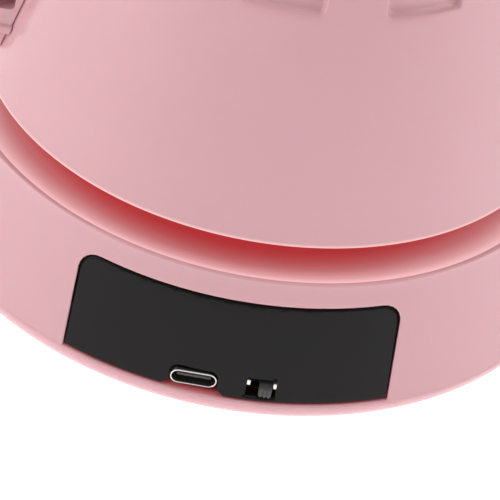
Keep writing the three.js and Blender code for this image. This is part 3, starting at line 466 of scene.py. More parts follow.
class Skin:
    """A turned surface as a grid, in which blocks of cells can be replaced by openings or recesses."""

    def __init__(self, shape: Shape, line: Sequence[Point2], columns: int, closed: bool) -> None:
        """Adds the grid's points.

        Args:
            shape: The mesh that the surface belongs to.
            line: Radius and height of each row.
            columns: How many steps round the axis.
            closed: Whether the last row joins the first.
        """
        self.shape = shape
        self.line = list(line)
        self.columns = columns
        self.closed = closed
        self.rows = [
            shape.loop(on_axis(r, 360 * c / columns, z) for c in range(columns)) for r, z in self.line
        ]
        self.taken: set[tuple[int, int]] = set()

    def row_near(self, z: float, start: int, stop: int) -> int:
        """The row nearest to a height, between two rows.

        Args:
            z: The height.
            start: The first row looked at.
            stop: The last row looked at.

        Returns:
            The row's number.
        """
        return min(range(start, stop + 1), key=lambda r: abs(self.line[r][1] - z))

    def radius_at(self, z: float, start: int, stop: int) -> float:
        """Radius of the surface at a height, between two rows.

        Args:
            z: The height.
            start: The first row of the stretch.
            stop: The last row of the stretch.

        Returns:
            The radius.
        """
        part = sorted(self.line[start : stop + 1], key=lambda p: p[1])
        z = max(part[0][1], min(part[-1][1], z))
        for (r0, z0), (r1, z1) in zip(part, part[1:], strict=False):
            if z0 <= z <= z1:
                share = 0 if z1 - z0 < 1e-9 else (z - z0) / (z1 - z0)
                return r0 + (r1 - r0) * share
        return part[-1][0]

    def opened(
        self,
        rows: tuple[int, int],
        azimuths: tuple[float, float],
        flat: Callable[[Vector], Point2],
        loop: Sequence[Point2],
        place: Callable[[Point2], Vector],
    ) -> list[int]:
        """Replaces a block of cells by a patch with an opening in it.

        Args:
            rows: The block's first and last row.
            azimuths: The block's first and last azimuth in degrees.
            flat: Takes a point of the surface to the plane.
            loop: The opening's edge in the plane.
            place: Takes a plane point to the surface.

        Returns:
            The point numbers of the opening's edge.
        """
        low, high = rows
        step = 360 / self.columns
        first, last = math.floor(azimuths[0] / step), math.ceil(azimuths[1] / step)
        columns = [c % self.columns for c in range(first, last + 1)]
        for r in range(low, high):
            self.taken.update((r, c) for c in columns[:-1])
        border = [self.rows[low][c] for c in columns]
        border += [self.rows[r][columns[-1]] for r in range(low + 1, high + 1)]
        border += [self.rows[high][c] for c in reversed(columns[:-1])]
        border += [self.rows[r][columns[0]] for r in range(high - 1, low, -1)]
        outer = [flat(self.shape.points[k]) for k in border]
        spare = []
        for r in range(low + 1, high):
            for c in columns[1:-1]:
                point = flat(self.shape.points[self.rows[r][c]])
                if not inside(point, loop) and far_from(point, loop, 0.45):
                    spare.append((self.rows[r][c], point))
        edge = self.shape.loop(place(p) for p in loop)
        numbers = [*border, *edge, *(k for k, _ in spare)]
        for face in triangles(outer, loop, [p for _, p in spare]):
            self.shape.faces.append(tuple(numbers[k] for k in face))
        return edge

    def close(self) -> None:
        """Adds the faces of all cells that no opening has taken."""
        count = len(self.rows)
        for r in range(count if self.closed else count - 1):
            low, high = self.rows[r], self.rows[(r + 1) % count]
            for c in range(self.columns):
                if (r, c) in self.taken:
                    continue
                k = (c + 1) % self.columns
                self.shape.faces.append((low[c], low[k], high[k], high[c]))


def turned(line: Sequence[Point2], columns: int = 192, closed: bool = False) -> Shape:
    """A plain turned solid.

    Args:
        line: Radius and height of each row, from axis to axis or round a section.
        columns: How many steps round the axis.
        closed: Whether the last row joins the first.

    Returns:
        The solid.
    """
    shape = Shape()
    Skin(shape, line, columns, closed).close()
    return shape


def edge_steps(low: float, high: float, edge: float, steps: int = 3) -> list[Point2]:
    """Offsets and heights of a straight sweep with rounded ends.

    Args:
        low: Where it starts.
        high: Where it ends.
        edge: Radius of the rounding at both ends.
        steps: Chords in the rounding.

    Returns:
        Pairs of offset and height.
    """
    angles = [math.pi / 2 * i / steps for i in range(steps + 1)]
    start = [(edge * (math.sin(a) - 1), low + edge * (1 - math.cos(a))) for a in angles]
    return [*start, *((grow, high + low - height) for grow, height in reversed(start))]


def along_y(x: float, y: float, height: float) -> Vector:
    """Places an XZ section along Y.

    Args:
        x: The section's first coordinate.
        y: The section's second coordinate, which becomes Z.
        height: The place along Y.

    Returns:
        The point.
    """
    return Vector((x, height, y))


def along_z(x: float, y: float, height: float) -> Vector:
    """Places an XY section along Z.

    Args:
        x: The section's first coordinate.
        y: The section's second coordinate.
        height: The place along Z.

    Returns:
        The point.
    """
    return Vector((x, y, height))


def solid_object(shape: Shape, name: str) -> Piece:
    """Puts a shape into the scene.

    Args:
        shape: The shape.
        name: The object's name.

    Returns:
        The object.
    """
    made = bpy.data.objects.new(name, shape.mesh(name))
    bpy.context.scene.collection.objects.link(made)
    return made


def carved(
    target: Piece, cutters: Sequence[Shape], operation: str = "DIFFERENCE"
) -> Piece:
    """Cuts shapes from an object, or joins them to it.

    Args:
        target: The object that changes.
        cutters: The shapes.
        operation: A boolean operation's name.

    Returns:
        The same object, with its new mesh.
    """
    tools = []
    for i, cutter in enumerate(cutters):
        tool = solid_object(cutter, f"tool_{i}")
        boolean = target.modifiers.new(f"cut_{i}", "BOOLEAN")
        boolean.operation = operation
        boolean.solver = "EXACT"
        boolean.object = tool
        tools.append(tool)
    bpy.context.view_layer.update()
    graph = bpy.context.evaluated_depsgraph_get()
    mesh = bpy.data.meshes.new_from_object(target.evaluated_get(graph))
    target.modifiers.clear()
    target.data = mesh
    for tool in tools:
        bpy.data.objects.remove(tool)
    return target


def softened(
    target: Piece, width: float, segments: int = 3, angle: float = 32.0
) -> Piece:
    """Rounds an object's sharp edges.

    Args:
        target: The object.
        width: The rounding's width in millimetres.
        segments: Steps in the rounding.
        angle: Edges sharper than this many degrees are rounded.

    Returns:
        The same object.
    """
    for polygon in target.data.polygons:
        polygon.use_smooth = True
    bevel = target.modifiers.new("edges", "BEVEL")
    bevel.width = width * MM
    bevel.segments = segments
    bevel.limit_method = "ANGLE"
    bevel.angle_limit = math.radians(angle)
    bevel.miter_outer = "MITER_ARC"
    return target


def weighted(target: Piece) -> Piece:
    """Lets large faces set the shading at their edges.

    Args:
        target: The object.

    Returns:
        The same object.
    """
    normals = target.modifiers.new("normals", "WEIGHTED_NORMAL")
    normals.mode = "FACE_AREA"
    normals.weight = 50
    normals.keep_sharp = True
    return target


def moved(shape: Shape, matrix: Matrix) -> Shape:
    """Moves a shape.

    Args:
        shape: The shape.
        matrix: The move, in millimetres.

    Returns:
        The same shape.
    """
    shape.points = [matrix @ p for p in shape.points]
    return shape


def rod(radius: float, low: float, high: float, edge: float = 0.2, x: float = 0, y: float = 0) -> Shape:
    """An upright round bar with rounded ends.

    Args:
        radius: Its radius.
        low: Its lower end.
        high: Its upper end.
        edge: Radius of the rounding.
        x: Its axis.
        y: Its axis.

    Returns:
        The bar.
    """
    corners = [(0, low, 0), (radius, low, edge), (radius, high, edge), (0, high, 0)]
    bar = turned(profile(corners, 50, 3), 48)
    return moved(bar, Matrix.Translation((x, y, 0)))


def cuboid(low: Sequence[float], high: Sequence[float], edge: float = 0.05) -> Shape:
    """A box with rounded edges.

    Args:
        low: Its lowest corner.
        high: Its highest corner.
        edge: Radius of the rounding.

    Returns:
        The box.
    """
    section = Outline(
        (
            (low[0], low[1], edge),
            (high[0], low[1], edge),
            (high[0], high[1], edge),
            (low[0], high[1], edge),
        ),
        50,
        2,
    )
    shape = Shape()
    shape.swept(section, edge_steps(low[2], high[2], edge, 2), along_z, 500)
    return shape


def centre_of(node: str) -> Vector:
    """Middle of a CAD node's box.

    Args:
        node: The node.

    Returns:
        The middle, in millimetres.
    """
    low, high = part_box(node)
    return (low + high) / (2 * MM)


def box_of(node: str) -> tuple[Vector, Vector]:
    """Box of a CAD node.

    Args:
        node: The node.

    Returns:
        Its lowest and highest corner, in millimetres.
    """
    low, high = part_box(node)
    return low / MM, high / MM


def joint_at(name: str) -> Vector:
    """Place of a joint of the record.

    Args:
        name: The joint's name.

    Returns:
        The place, in millimetres.
    """
    joint = next(j for j in frame["joints"] if j["name"] == name)
    return Vector(joint["pos_m"]) / MM


def laid_across(at: Vector) -> Matrix:
    """Lays an upright shape along Y.

    Args:
        at: Where its axis crosses the XZ plane.

    Returns:
        The move, in millimetres.
    """
    return Matrix.Translation((at.x, 0, at.z)) @ Matrix.Rotation(math.pi / 2, 4, "X")


def add_cross_pin(at: Vector, half: float, name: str, body: Body, node: str) -> None:
    """Makes a steel pin along Y.

    Args:
        at: Where its axis crosses the XZ plane.
        half: Half its length.
        name: The object's name.
        body: The body it rides on.
        node: The CAD node it replaces.
    """
    pin = solid_object(moved(rod(PIN_RADIUS, -half, half, 0.3), laid_across(at)), name)
    fit_piece(weighted(pin), Slot.STEEL, body, node)


def pin_hole(at: Vector) -> Shape:
    """The bore for a pin along Y.

    Args:
        at: Where its axis crosses the XZ plane.

    Returns:
        The bore.
    """
    return moved(rod(PIN_HOLE, -THROUGH, THROUGH), laid_across(at))


# ---------------------------------------------------------------- finishes
class Graph:
    """Nodes of a material or of a node group."""

    def __init__(self, tree: bpy.types.NodeTree) -> None:
        """Starts from a tree.

        Args:
            tree: The tree that gets the nodes.
        """
        self.tree = tree

    def node(self, kind: str, **inputs: object) -> bpy.types.Node:
        """Adds a node.

        Args:
            kind: Its type.
            inputs: A value or an output for each of its inputs, with _ for a space.

        Returns:
            The node.
        """
        made = self.tree.nodes.new(kind)
        for name, value in inputs.items():
            self.set(made.inputs[name.replace("_", " ")], value)
        return made

    def set(self, socket: Socket, value: object) -> None:
        """Gives an input its value or its link.

        Args:
            socket: The input.
            value: A value or an output.
        """
        if isinstance(value, Socket):
            self.tree.links.new(value, socket)
        else:
            socket.default_value = value

    def calc(self, operation: str, *values: object, clamp: bool = False) -> Socket:
        """Adds a calculation.

        Args:
            operation: Its name.
            values: Values or outputs.
            clamp: Whether the result stays between 0 and 1.

        Returns:
            Its result.
        """
        made = self.tree.nodes.new("ShaderNodeMath")
        made.operation = operation
        made.use_clamp = clamp
        for i, value in enumerate(values):
            self.set(made.inputs[i], value)
        return made.outputs[0]

    def noise(self, vector: object, scale: object, detail: float = 3.0, roughness: float = 0.5) -> Socket:
        """Adds a noise.

        Args:
            vector: Where it is read.
            scale: Its scale.
            detail: Its detail.
            roughness: Its roughness.

        Returns:
            A value about 0.5.
        """
        made = self.node(
            "ShaderNodeTexNoise", Vector=vector, Scale=scale, Detail=detail, Roughness=roughness
        )
        return made.outputs[0]

    def blend(self, share: object, first: object, second: object) -> Socket:
        """Mixes two colours.

        Args:
            share: How much of the second.
            first: One colour.
            second: The other colour.

        Returns:
            The mixed colour.
        """
        made = self.tree.nodes.new("ShaderNodeMix")
        made.data_type = "RGBA"
        self.set(made.inputs["Factor"], share)
        self.set(made.inputs[6], first)
        self.set(made.inputs[7], second)
        return made.outputs[2]

    def ramp(self, value: object, low: float, high: float) -> Socket:
        """A smooth step.

        Args:
            value: What is stepped.
            low: Where the result is 0.
            high: Where the result is 1.

        Returns:
            The result.
        """
        made = self.tree.nodes.new("ShaderNodeMapRange")
        made.interpolation_type = "SMOOTHSTEP"
        self.set(made.inputs["Value"], value)
        made.inputs["From Min"].default_value = low
        made.inputs["From Max"].default_value = high
        return made.outputs["Result"]

    def group(self, tree: bpy.types.NodeTree, **inputs: object) -> bpy.types.Node:
        """Adds a node group.

        Args:
            tree: The group.
            inputs: A value or an output for each of its inputs.

        Returns:
            The group's node.
        """
        made = self.tree.nodes.new("ShaderNodeGroup")
        made.node_tree = tree
        for name, value in inputs.items():
            self.set(made.inputs[name.replace("_", " ")], value)
        return made


def effect(
    name: str, inputs: dict[str, str], outputs: dict[str, str]
) -> tuple[Graph, dict[str, Socket], bpy.types.Node]:
    """Starts a node group.

    Args:
        name: Its name.
        inputs: Name and socket type of each input.
        outputs: Name and socket type of each output.

    Returns:
        Its graph, its inputs by name and its output node.
    """
    tree = bpy.data.node_groups.new(name, "ShaderNodeTree")
    for label, kind in inputs.items():
        tree.interface.new_socket(label, in_out="INPUT", socket_type=kind)
    for label, kind in outputs.items():
        tree.interface.new_socket(label, in_out="OUTPUT", socket_type=kind)
    graph = Graph(tree)
    start = tree.nodes.new("NodeGroupInput")
    return graph, {s.name: s for s in start.outputs if s.name}, tree.nodes.new("NodeGroupOutput")


FLOAT, VECTOR = "NodeSocketFloat", "NodeSocketVector"


def grain_effect() -> bpy.types.NodeTree:
    """Makes the moulding or casting grain.

    Returns:
        The group, with a bump height.
    """
    graph, given, result = effect("fine_grain", {"Scale": FLOAT, "Amount": FLOAT}, {"Height": FLOAT})
    place = graph.node("ShaderNodeTexCoord").outputs["Object"]
    fine = graph.noise(place, given["Scale"], 2.0)
    broad = graph.noise(place, graph.calc("MULTIPLY", given["Scale"], 0.13), 2.0)
    mixed = graph.calc("ADD", graph.calc("MULTIPLY", fine, 0.7), graph.calc("MULTIPLY", broad, 0.3))
    graph.set(result.inputs["Height"], graph.calc("MULTIPLY", mixed, given["Amount"]))
    return graph.tree


def smudge_effect() -> bpy.types.NodeTree:
    """Makes handling marks and flow marks in a roughness.

    Returns:
        The group, with a roughness.
    """
    graph, given, result = effect("smudges", {"Roughness": FLOAT, "Amount": FLOAT}, {"Roughness": FLOAT})
    place = graph.node("ShaderNodeTexCoord").outputs["Object"]
    broad = graph.calc("SUBTRACT", graph.noise(place, 38.0, 4.0, 0.6), 0.5)
    fine = graph.calc("SUBTRACT", graph.noise(place, 410.0, 3.0), 0.5)
    mixed = graph.calc("ADD", broad, graph.calc("MULTIPLY", fine, 0.5))
    shift = graph.calc("MULTIPLY", mixed, given["Amount"])
    graph.set(result.inputs["Roughness"], graph.calc("ADD", given["Roughness"], shift, clamp=True))
    return graph.tree


def speckle_effect() -> bpy.types.NodeTree:
    """Makes small flecks of a chosen size.

    Returns:
        The group, with a mask.
    """
    graph, given, result = effect("speckles", {"Scale": FLOAT, "Size": FLOAT}, {"Mask": FLOAT})
    place = graph.node("ShaderNodeTexCoord").outputs["Object"]
    cells = graph.node("ShaderNodeTexVoronoi", Vector=place, Scale=given["Scale"])
    near = graph.calc("SUBTRACT", given["Size"], cells.outputs["Distance"])
    graph.set(result.inputs["Mask"], graph.calc("MULTIPLY", near, 12.0, clamp=True))
    return graph.tree


def scratch_effect() -> bpy.types.NodeTree:
    """Makes fine parallel lines along a direction.

    Returns:
        The group, with a value about 0.5.
    """
    graph, given, result = effect("brushed_lines", {"Stretch": VECTOR, "Scale": FLOAT}, {"Lines": FLOAT})
    place = graph.node("ShaderNodeTexCoord").outputs["Object"]
    scaled = graph.tree.nodes.new("ShaderNodeVectorMath")
    scaled.operation = "MULTIPLY"
    graph.set(scaled.inputs[0], place)
    graph.set(scaled.inputs[1], given["Stretch"])
    graph.set(result.inputs["Lines"], graph.noise(scaled.outputs[0], given["Scale"], 4.0, 0.7))
    return graph.tree


def depth_effect() -> bpy.types.NodeTree:
    """Makes a measure of how far inside a radius a point lies, between two heights, which is the mask for painted
    shade and painted glow.

    Returns:
        The group, with a mask.
    """
    graph, given, result = effect(
        "hollow_depth",
        {"Edge": FLOAT, "Depth": FLOAT, "Top": FLOAT, "Bottom": FLOAT},
        {"Mask": FLOAT},
    )
    place = graph.node("ShaderNodeTexCoord").outputs["Object"]
    parts = graph.node("ShaderNodeSeparateXYZ", Vector=place).outputs
    fade = 0.0006
    across = graph.calc("ADD", graph.calc("POWER", parts[0], 2.0), graph.calc("POWER", parts[1], 2.0))
    reach = graph.calc("SUBTRACT", given["Edge"], graph.calc("SQRT", across))
    inward = graph.calc("DIVIDE", reach, given["Depth"], clamp=True)
    below = graph.ramp(graph.calc("SUBTRACT", given["Top"], parts[2]), 0.0, fade)
    above = graph.ramp(graph.calc("SUBTRACT", parts[2], given["Bottom"]), 0.0, fade)
    graph.set(
        result.inputs["Mask"], graph.calc("MULTIPLY", inward, graph.calc("MULTIPLY", below, above))
    )
    return graph.tree


class Effects:
    """The node groups that the finishes share, each made once."""

    made: dict[str, bpy.types.NodeTree] = {}
    makers: dict[str, Callable[[], bpy.types.NodeTree]] = {
        "grain": grain_effect,
        "smudge": smudge_effect,
        "speckle": speckle_effect,
        "scratch": scratch_effect,
        "depth": depth_effect,
    }

    @classmethod
    def get(cls, name: str) -> bpy.types.NodeTree:
        """A group by name.

        Args:
            name: Its name.

        Returns:
            The group.
        """
        if name not in cls.made:
            cls.made[name] = cls.makers[name]()
        return cls.made[name]


@dataclass(frozen=True)
class Hollow:
    """A ring-shaped hollow round the axis, in metres, whose mask places painted shade and painted glow.

    Attributes:
        edge: Radius of its mouth.
        depth: How far inside the mouth its mask reaches 1.
        top: Height where it ends.
        bottom: Height where it starts.
    """

    edge: float
    depth: float
    top: float
    bottom: float

    def mask(self, graph: Graph) -> Socket:
        """Adds its mask to a material.

        Args:
            graph: The material's graph.

        Returns:
            0 at the mouth, and 1 where the depth is reached.
        """
        made = graph.group(
            Effects.get("depth"), Edge=self.edge, Depth=self.depth, Top=self.top, Bottom=self.bottom
        )
        return made.outputs["Mask"]


@dataclass(frozen=True)
class Finish:
    """A material with a fine grain and marks.

    Attributes:
        name: The material's name.
        color: Linear base colour.
        roughness: Its roughness.
        metallic: Its metallic share.
        grain: Bump height of the grain in millimetres.
        grain_scale: How fine the grain is.
        smudge: How far the roughness varies.
    """

    name: str
    color: Color
    roughness: float
    metallic: float = 0.0
    grain: float = 0.004
    grain_scale: float = 900.0
    smudge: float = 0.05

    def material(self) -> bpy.types.Material:
        """The material, made at its first use.

        Returns:
            The material.
        """
        name = f"finish_{self.name}"
        known = bpy.data.materials.get(name)
        if known:
            return known
        made = bpy.data.materials.new(name)
        made.use_nodes = True
        made.diffuse_color = (*self.color, 1.0)
        graph = Graph(made.node_tree)
        shader = next(n for n in made.node_tree.nodes if n.type == "BSDF_PRINCIPLED")
        shader.inputs["Base Color"].default_value = (*self.color, 1.0)
        shader.inputs["Metallic"].default_value = self.metallic
        marks = graph.group(Effects.get("smudge"), Roughness=self.roughness, Amount=self.smudge)
        graph.set(shader.inputs["Roughness"], marks.outputs["Roughness"])
        height = self.dress(graph, shader, marks.outputs["Roughness"])
        bump = graph.node("ShaderNodeBump", Height=height, Distance=MM, Strength=1.0)
        graph.set(shader.inputs["Normal"], bump.outputs["Normal"])
        return made

    def dress(self, graph: Graph, shader: bpy.types.Node, roughness: Socket) -> Socket:
        """Adds what is special to the finish.

        Args:
            graph: The material's graph.
            shader: Its shader node.
            roughness: The roughness with its marks.

        Returns:
            The bump height.
        """
        made = graph.group(Effects.get("grain"), Scale=self.grain_scale, Amount=self.grain)
        return made.outputs["Height"]


@dataclass(frozen=True)
class GlossPlastic(Finish):
    """A glossy moulded plastic that light enters a little, with painted shade and painted glow in the hollow under
    the body and under the panel, and a painted highlight on the skirt's edge.

    Attributes:
        subsurface: How far light travels inside, in millimetres.
        painted_shade_color: Painted shade: a deep red for the shade and red bounce light deep in the hollow under
            the body.
        painted_cove_glow: Painted light: emission deep in that hollow, standing in for red light bounced there.
        painted_rim_glow: Painted light: emission in the hollow next to the rim, where bounce light keeps it
            bright.
        painted_highlight_color: Colour of a painted highlight along the skirt's thin edge.
        edge_height: Height of that edge in metres.
        cove: The hollow between the base and the body's skirt, where the painted shade and glow go.
        cove_mouth: The same hollow, told from the surfaces outside it, which bounds the painted rim light.
        sill: The strip of wall under the control panel, where painted red shade goes.
        sill_shade_share: How strong the painted red shade gets on that strip.
    """

    subsurface: float = 1.2
    # Colours of painted shade, painted glow and a painted highlight, and the masks that place them.
    painted_shade_color: Color = (0.84, 0.15, 0.16)
    painted_cove_glow: Color = (0.085, 0.006, 0.007)
    painted_rim_glow: Color = (0.47, 0.375, 0.38)
    painted_highlight_color: Color = (0.82, 0.5, 0.5)
    edge_height: float = 0.03645
    cove: Hollow = Hollow(0.0618, 0.0145, 0.0367, 0.0255)
    cove_mouth: Hollow = Hollow(0.0623, 0.0005, 0.0367, 0.0255)
    sill: Hollow = Hollow(0.0702, 0.0006, 0.0071, 0.0045)
    sill_shade_share: float = 0.6

    def with_painted_highlight(self, graph: Graph, surface: Socket) -> Socket:
        """Adds a painted highlight, a pale line along the skirt's thin edge.

        Args:
            graph: The material's graph.
            surface: The colour so far.

        Returns:
            The colour with the painted highlight.
        """
        place = graph.node("ShaderNodeTexCoord").outputs["Object"]
        height = graph.node("ShaderNodeSeparateXYZ", Vector=place).outputs[2]
        offset = graph.calc("ABSOLUTE", graph.calc("SUBTRACT", height, self.edge_height))
        # Painted highlight: a thin pale band of colour at the skirt's edge height.
        line = graph.ramp(offset, 0.00045, 0.00015)
        return graph.blend(line, surface, (*self.painted_highlight_color, 1.0))

    def dress(self, graph: Graph, shader: bpy.types.Node, roughness: Socket) -> Socket:
        """Adds the light inside, the painted shade and painted glow of the hollow, the painted shade under the
        panel, the painted highlight on the skirt's edge and the clear outer skin.

        Args:
            graph: The material's graph.
            shader: Its shader node.
            roughness: The roughness with its marks.

        Returns:
            The bump height.
        """
        inward = self.cove.mask(graph)
        flow = graph.noise(graph.node("ShaderNodeTexCoord").outputs["Object"], 21.0, 3.0)
        tone = graph.ramp(flow, 0.3, 0.7)
        pale = tuple(min(1.0, c * 1.02) for c in self.color)
        dim = tuple(c * 0.985 for c in self.color)
        surface = graph.blend(tone, (*dim, 1.0), (*pale, 1.0))
        # Painted shade: deep inside the hollow under the body the base colour turns deep red and only a faint red
        # glow is emitted.
        deep = graph.calc("POWER", inward, 1.15)
        shallow = graph.calc("POWER", graph.calc("SUBTRACT", 1.0, inward), 1.6)
        # Painted light: emission that brightens the hollow next to the rim, fading deeper in.
        lit = graph.calc("MULTIPLY", shallow, self.cove_mouth.mask(graph))
        # Painted red shade on the strip of wall under the panel.
        sill_shade = graph.calc("MULTIPLY", self.sill.mask(graph), self.sill_shade_share)
        amount = graph.calc("MAXIMUM", deep, sill_shade)
        rim_light = graph.blend(lit, (0.0, 0.0, 0.0, 1.0), (*self.painted_rim_glow, 1.0))
        light = graph.blend(amount, rim_light, (*self.painted_cove_glow, 1.0))
        color = graph.blend(amount, self.with_painted_highlight(graph, surface), (*self.painted_shade_color, 1.0))
        graph.set(shader.inputs["Emission Color"], light)
        graph.set(shader.inputs["Base Color"], color)
        shader.inputs["Emission Strength"].default_value = 1.0
        shader.inputs["Subsurface Weight"].default_value = 0.25
        shader.inputs["Subsurface Radius"].default_value = (1.0, 0.35, 0.3)
        shader.inputs["Subsurface Scale"].default_value = self.subsurface * MM
        shader.inputs["Coat Weight"].default_value = 0.12
        shader.inputs["Coat Roughness"].default_value = 0.04
        return super().dress(graph, shader, roughness)


@dataclass(frozen=True)
class Lacquer(Finish):
    """A deep gloss with dust specks too small to see one by one.

    Attributes:
        shine: Strength of its reflection, 0.5 for an ordinary plastic.
        dust: How much a speck covers.
        dust_color: Colour of the specks.
    """

    shine: float = 0.2
    dust: float = 0.03
    dust_color: Color = (0.2, 0.19, 0.19)

    def dress(self, graph: Graph, shader: bpy.types.Node, roughness: Socket) -> Socket:
        """Adds the dust and the shine.

        Args:
            graph: The material's graph.
            shader: Its shader node.
            roughness: The roughness with its marks.

        Returns:
            The bump height.
        """
        dust = graph.group(Effects.get("speckle"), Scale=2600.0, Size=0.12)
        amount = graph.calc("MULTIPLY", dust.outputs["Mask"], self.dust)
        color = graph.blend(amount, (*self.color, 1.0), (*self.dust_color, 1.0))
        graph.set(shader.inputs["Base Color"], color)
        shader.inputs["Specular IOR Level"].default_value = self.shine
        return super().dress(graph, shader, roughness)


@dataclass(frozen=True)
class BrushedMetal(Finish):
    """A metal with fine lines from rolling or turning.

    Attributes:
        stretch: How much finer the lines are along each axis.
        lines: Bump height of the lines in millimetres.
    """

    stretch: Point3 = (0.05, 1.0, 1.0)
    lines: float = 0.006

    def dress(self, graph: Graph, shader: bpy.types.Node, roughness: Socket) -> Socket:
        """Adds the lines to colour, roughness and height.

        Args:
            graph: The material's graph.
            shader: Its shader node.
            roughness: The roughness with its marks.

        Returns:
            The bump height.
        """
        made = graph.group(Effects.get("scratch"), Stretch=self.stretch, Scale=2200.0)
        lines = made.outputs["Lines"]
        dark = tuple(c * 0.82 for c in self.color)
        color = graph.blend(graph.ramp(lines, 0.3, 0.6), (*dark, 1.0), (*self.color, 1.0))
        graph.set(shader.inputs["Base Color"], color)
        wear = graph.calc("MULTIPLY", graph.calc("SUBTRACT", lines, 0.5), 0.3)
        graph.set(shader.inputs["Roughness"], graph.calc("ADD", roughness, wear, clamp=True))
        raised = graph.calc("MULTIPLY", lines, self.lines)
        return graph.calc("ADD", raised, super().dress(graph, shader, roughness))


@dataclass(frozen=True)
class Flecked(Finish):
    """A coating or a moulding with flecks.

    Attributes:
        fleck: Colour of the flecks.
        fleck_scale: How close together the flecks are.
        fleck_size: How large the flecks are.
    """

    fleck: Color = (0.2, 0.2, 0.2)
    fleck_scale: float = 900.0
    fleck_size: float = 0.25

    def dress(self, graph: Graph, shader: bpy.types.Node, roughness: Socket) -> Socket:
        """Adds the flecks to colour and height.

        Args:
            graph: The material's graph.
            shader: Its shader node.
            roughness: The roughness with its marks.

        Returns:
            The bump height.
        """
        made = graph.group(Effects.get("speckle"), Scale=self.fleck_scale, Size=self.fleck_size)
        mask = made.outputs["Mask"]
        color = graph.blend(mask, (*self.color, 1.0), (*self.fleck, 1.0))
        graph.set(shader.inputs["Base Color"], color)
        raised = graph.calc("MULTIPLY", mask, 0.003)
        return graph.calc("ADD", raised, super().dress(graph, shader, roughness))


FINISHES: dict[Slot, Finish] = {
    Slot.PINK: GlossPlastic("pink_gloss", (0.735, 0.41, 0.445), 0.14, grain=0.0012),
    Slot.PANEL: Lacquer(
        "panel_black", (0.0085, 0.0068, 0.0078), 0.12, grain=0.0008, smudge=0.04
    ),
    Slot.DARK: Flecked(
        "dark_plastic", (0.06, 0.055, 0.057), 0.42, grain=0.006, fleck=(0.09, 0.085, 0.09)
    ),
    Slot.STEEL: BrushedMetal("plated_steel", (0.78, 0.76, 0.72), 0.2, 1.0),
    Slot.ALUMINIUM: BrushedMetal(
        "plain_aluminium", (0.62, 0.63, 0.64), 0.36, 1.0, stretch=(1.0, 1.0, 0.06)
    ),
    Slot.NONSTICK: Flecked(
        "nonstick_coating",
        (0.03, 0.028, 0.026),
        0.4,
        0.15,
        grain=0.01,
        fleck=(0.12, 0.115, 0.11),
        fleck_scale=1500.0,
        fleck_size=0.2,
    ),
    Slot.RUBBER: Flecked(
        "foot_rubber", (0.055, 0.05, 0.052), 0.8, grain=0.02, fleck=(0.1, 0.1, 0.1)
    ),
    Slot.BOARD: Flecked(
        "circuit_board",
        (0.012, 0.1, 0.035),
        0.35,
        fleck=(0.5, 0.42, 0.2),
        fleck_scale=420.0,
        fleck_size=0.16,
    ),
    Slot.CELL: Lacquer("cell_sleeve", (0.04, 0.2, 0.42), 0.3, grain=0.004),
    Slot.WIRE: Finish("silicone_sleeve", (0.45, 0.03, 0.025), 0.5, grain=0.01),
}
# Dark red-brown for the switch's frame and slot: partly the switch's dark moulding, partly painted shade with a
# red cast from the pink round it.
SWITCH_MOULDING_AND_SHADE = Flecked(
    "switch_moulding_and_painted_shade", (0.05, 0.011, 0.01), 0.45, grain=0.006, fleck=(0.07, 0.02, 0.02)
)


def fit_piece(target: Piece, slot: Slot, body: Body, node: str) -> None:
    """Gives a piece its finish and its body, and hides the CAD node that it stands for.

    Args:
        target: The piece.
        slot: Its material slot.
        body: The body it rides on.
        node: The CAD node it replaces.
    """
    target.data.materials.clear()
    target.data.materials.append(FINISHES[slot].material())
    for polygon in target.data.polygons:
        polygon.material_index = 0
    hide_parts(node)
    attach(target, body.value)


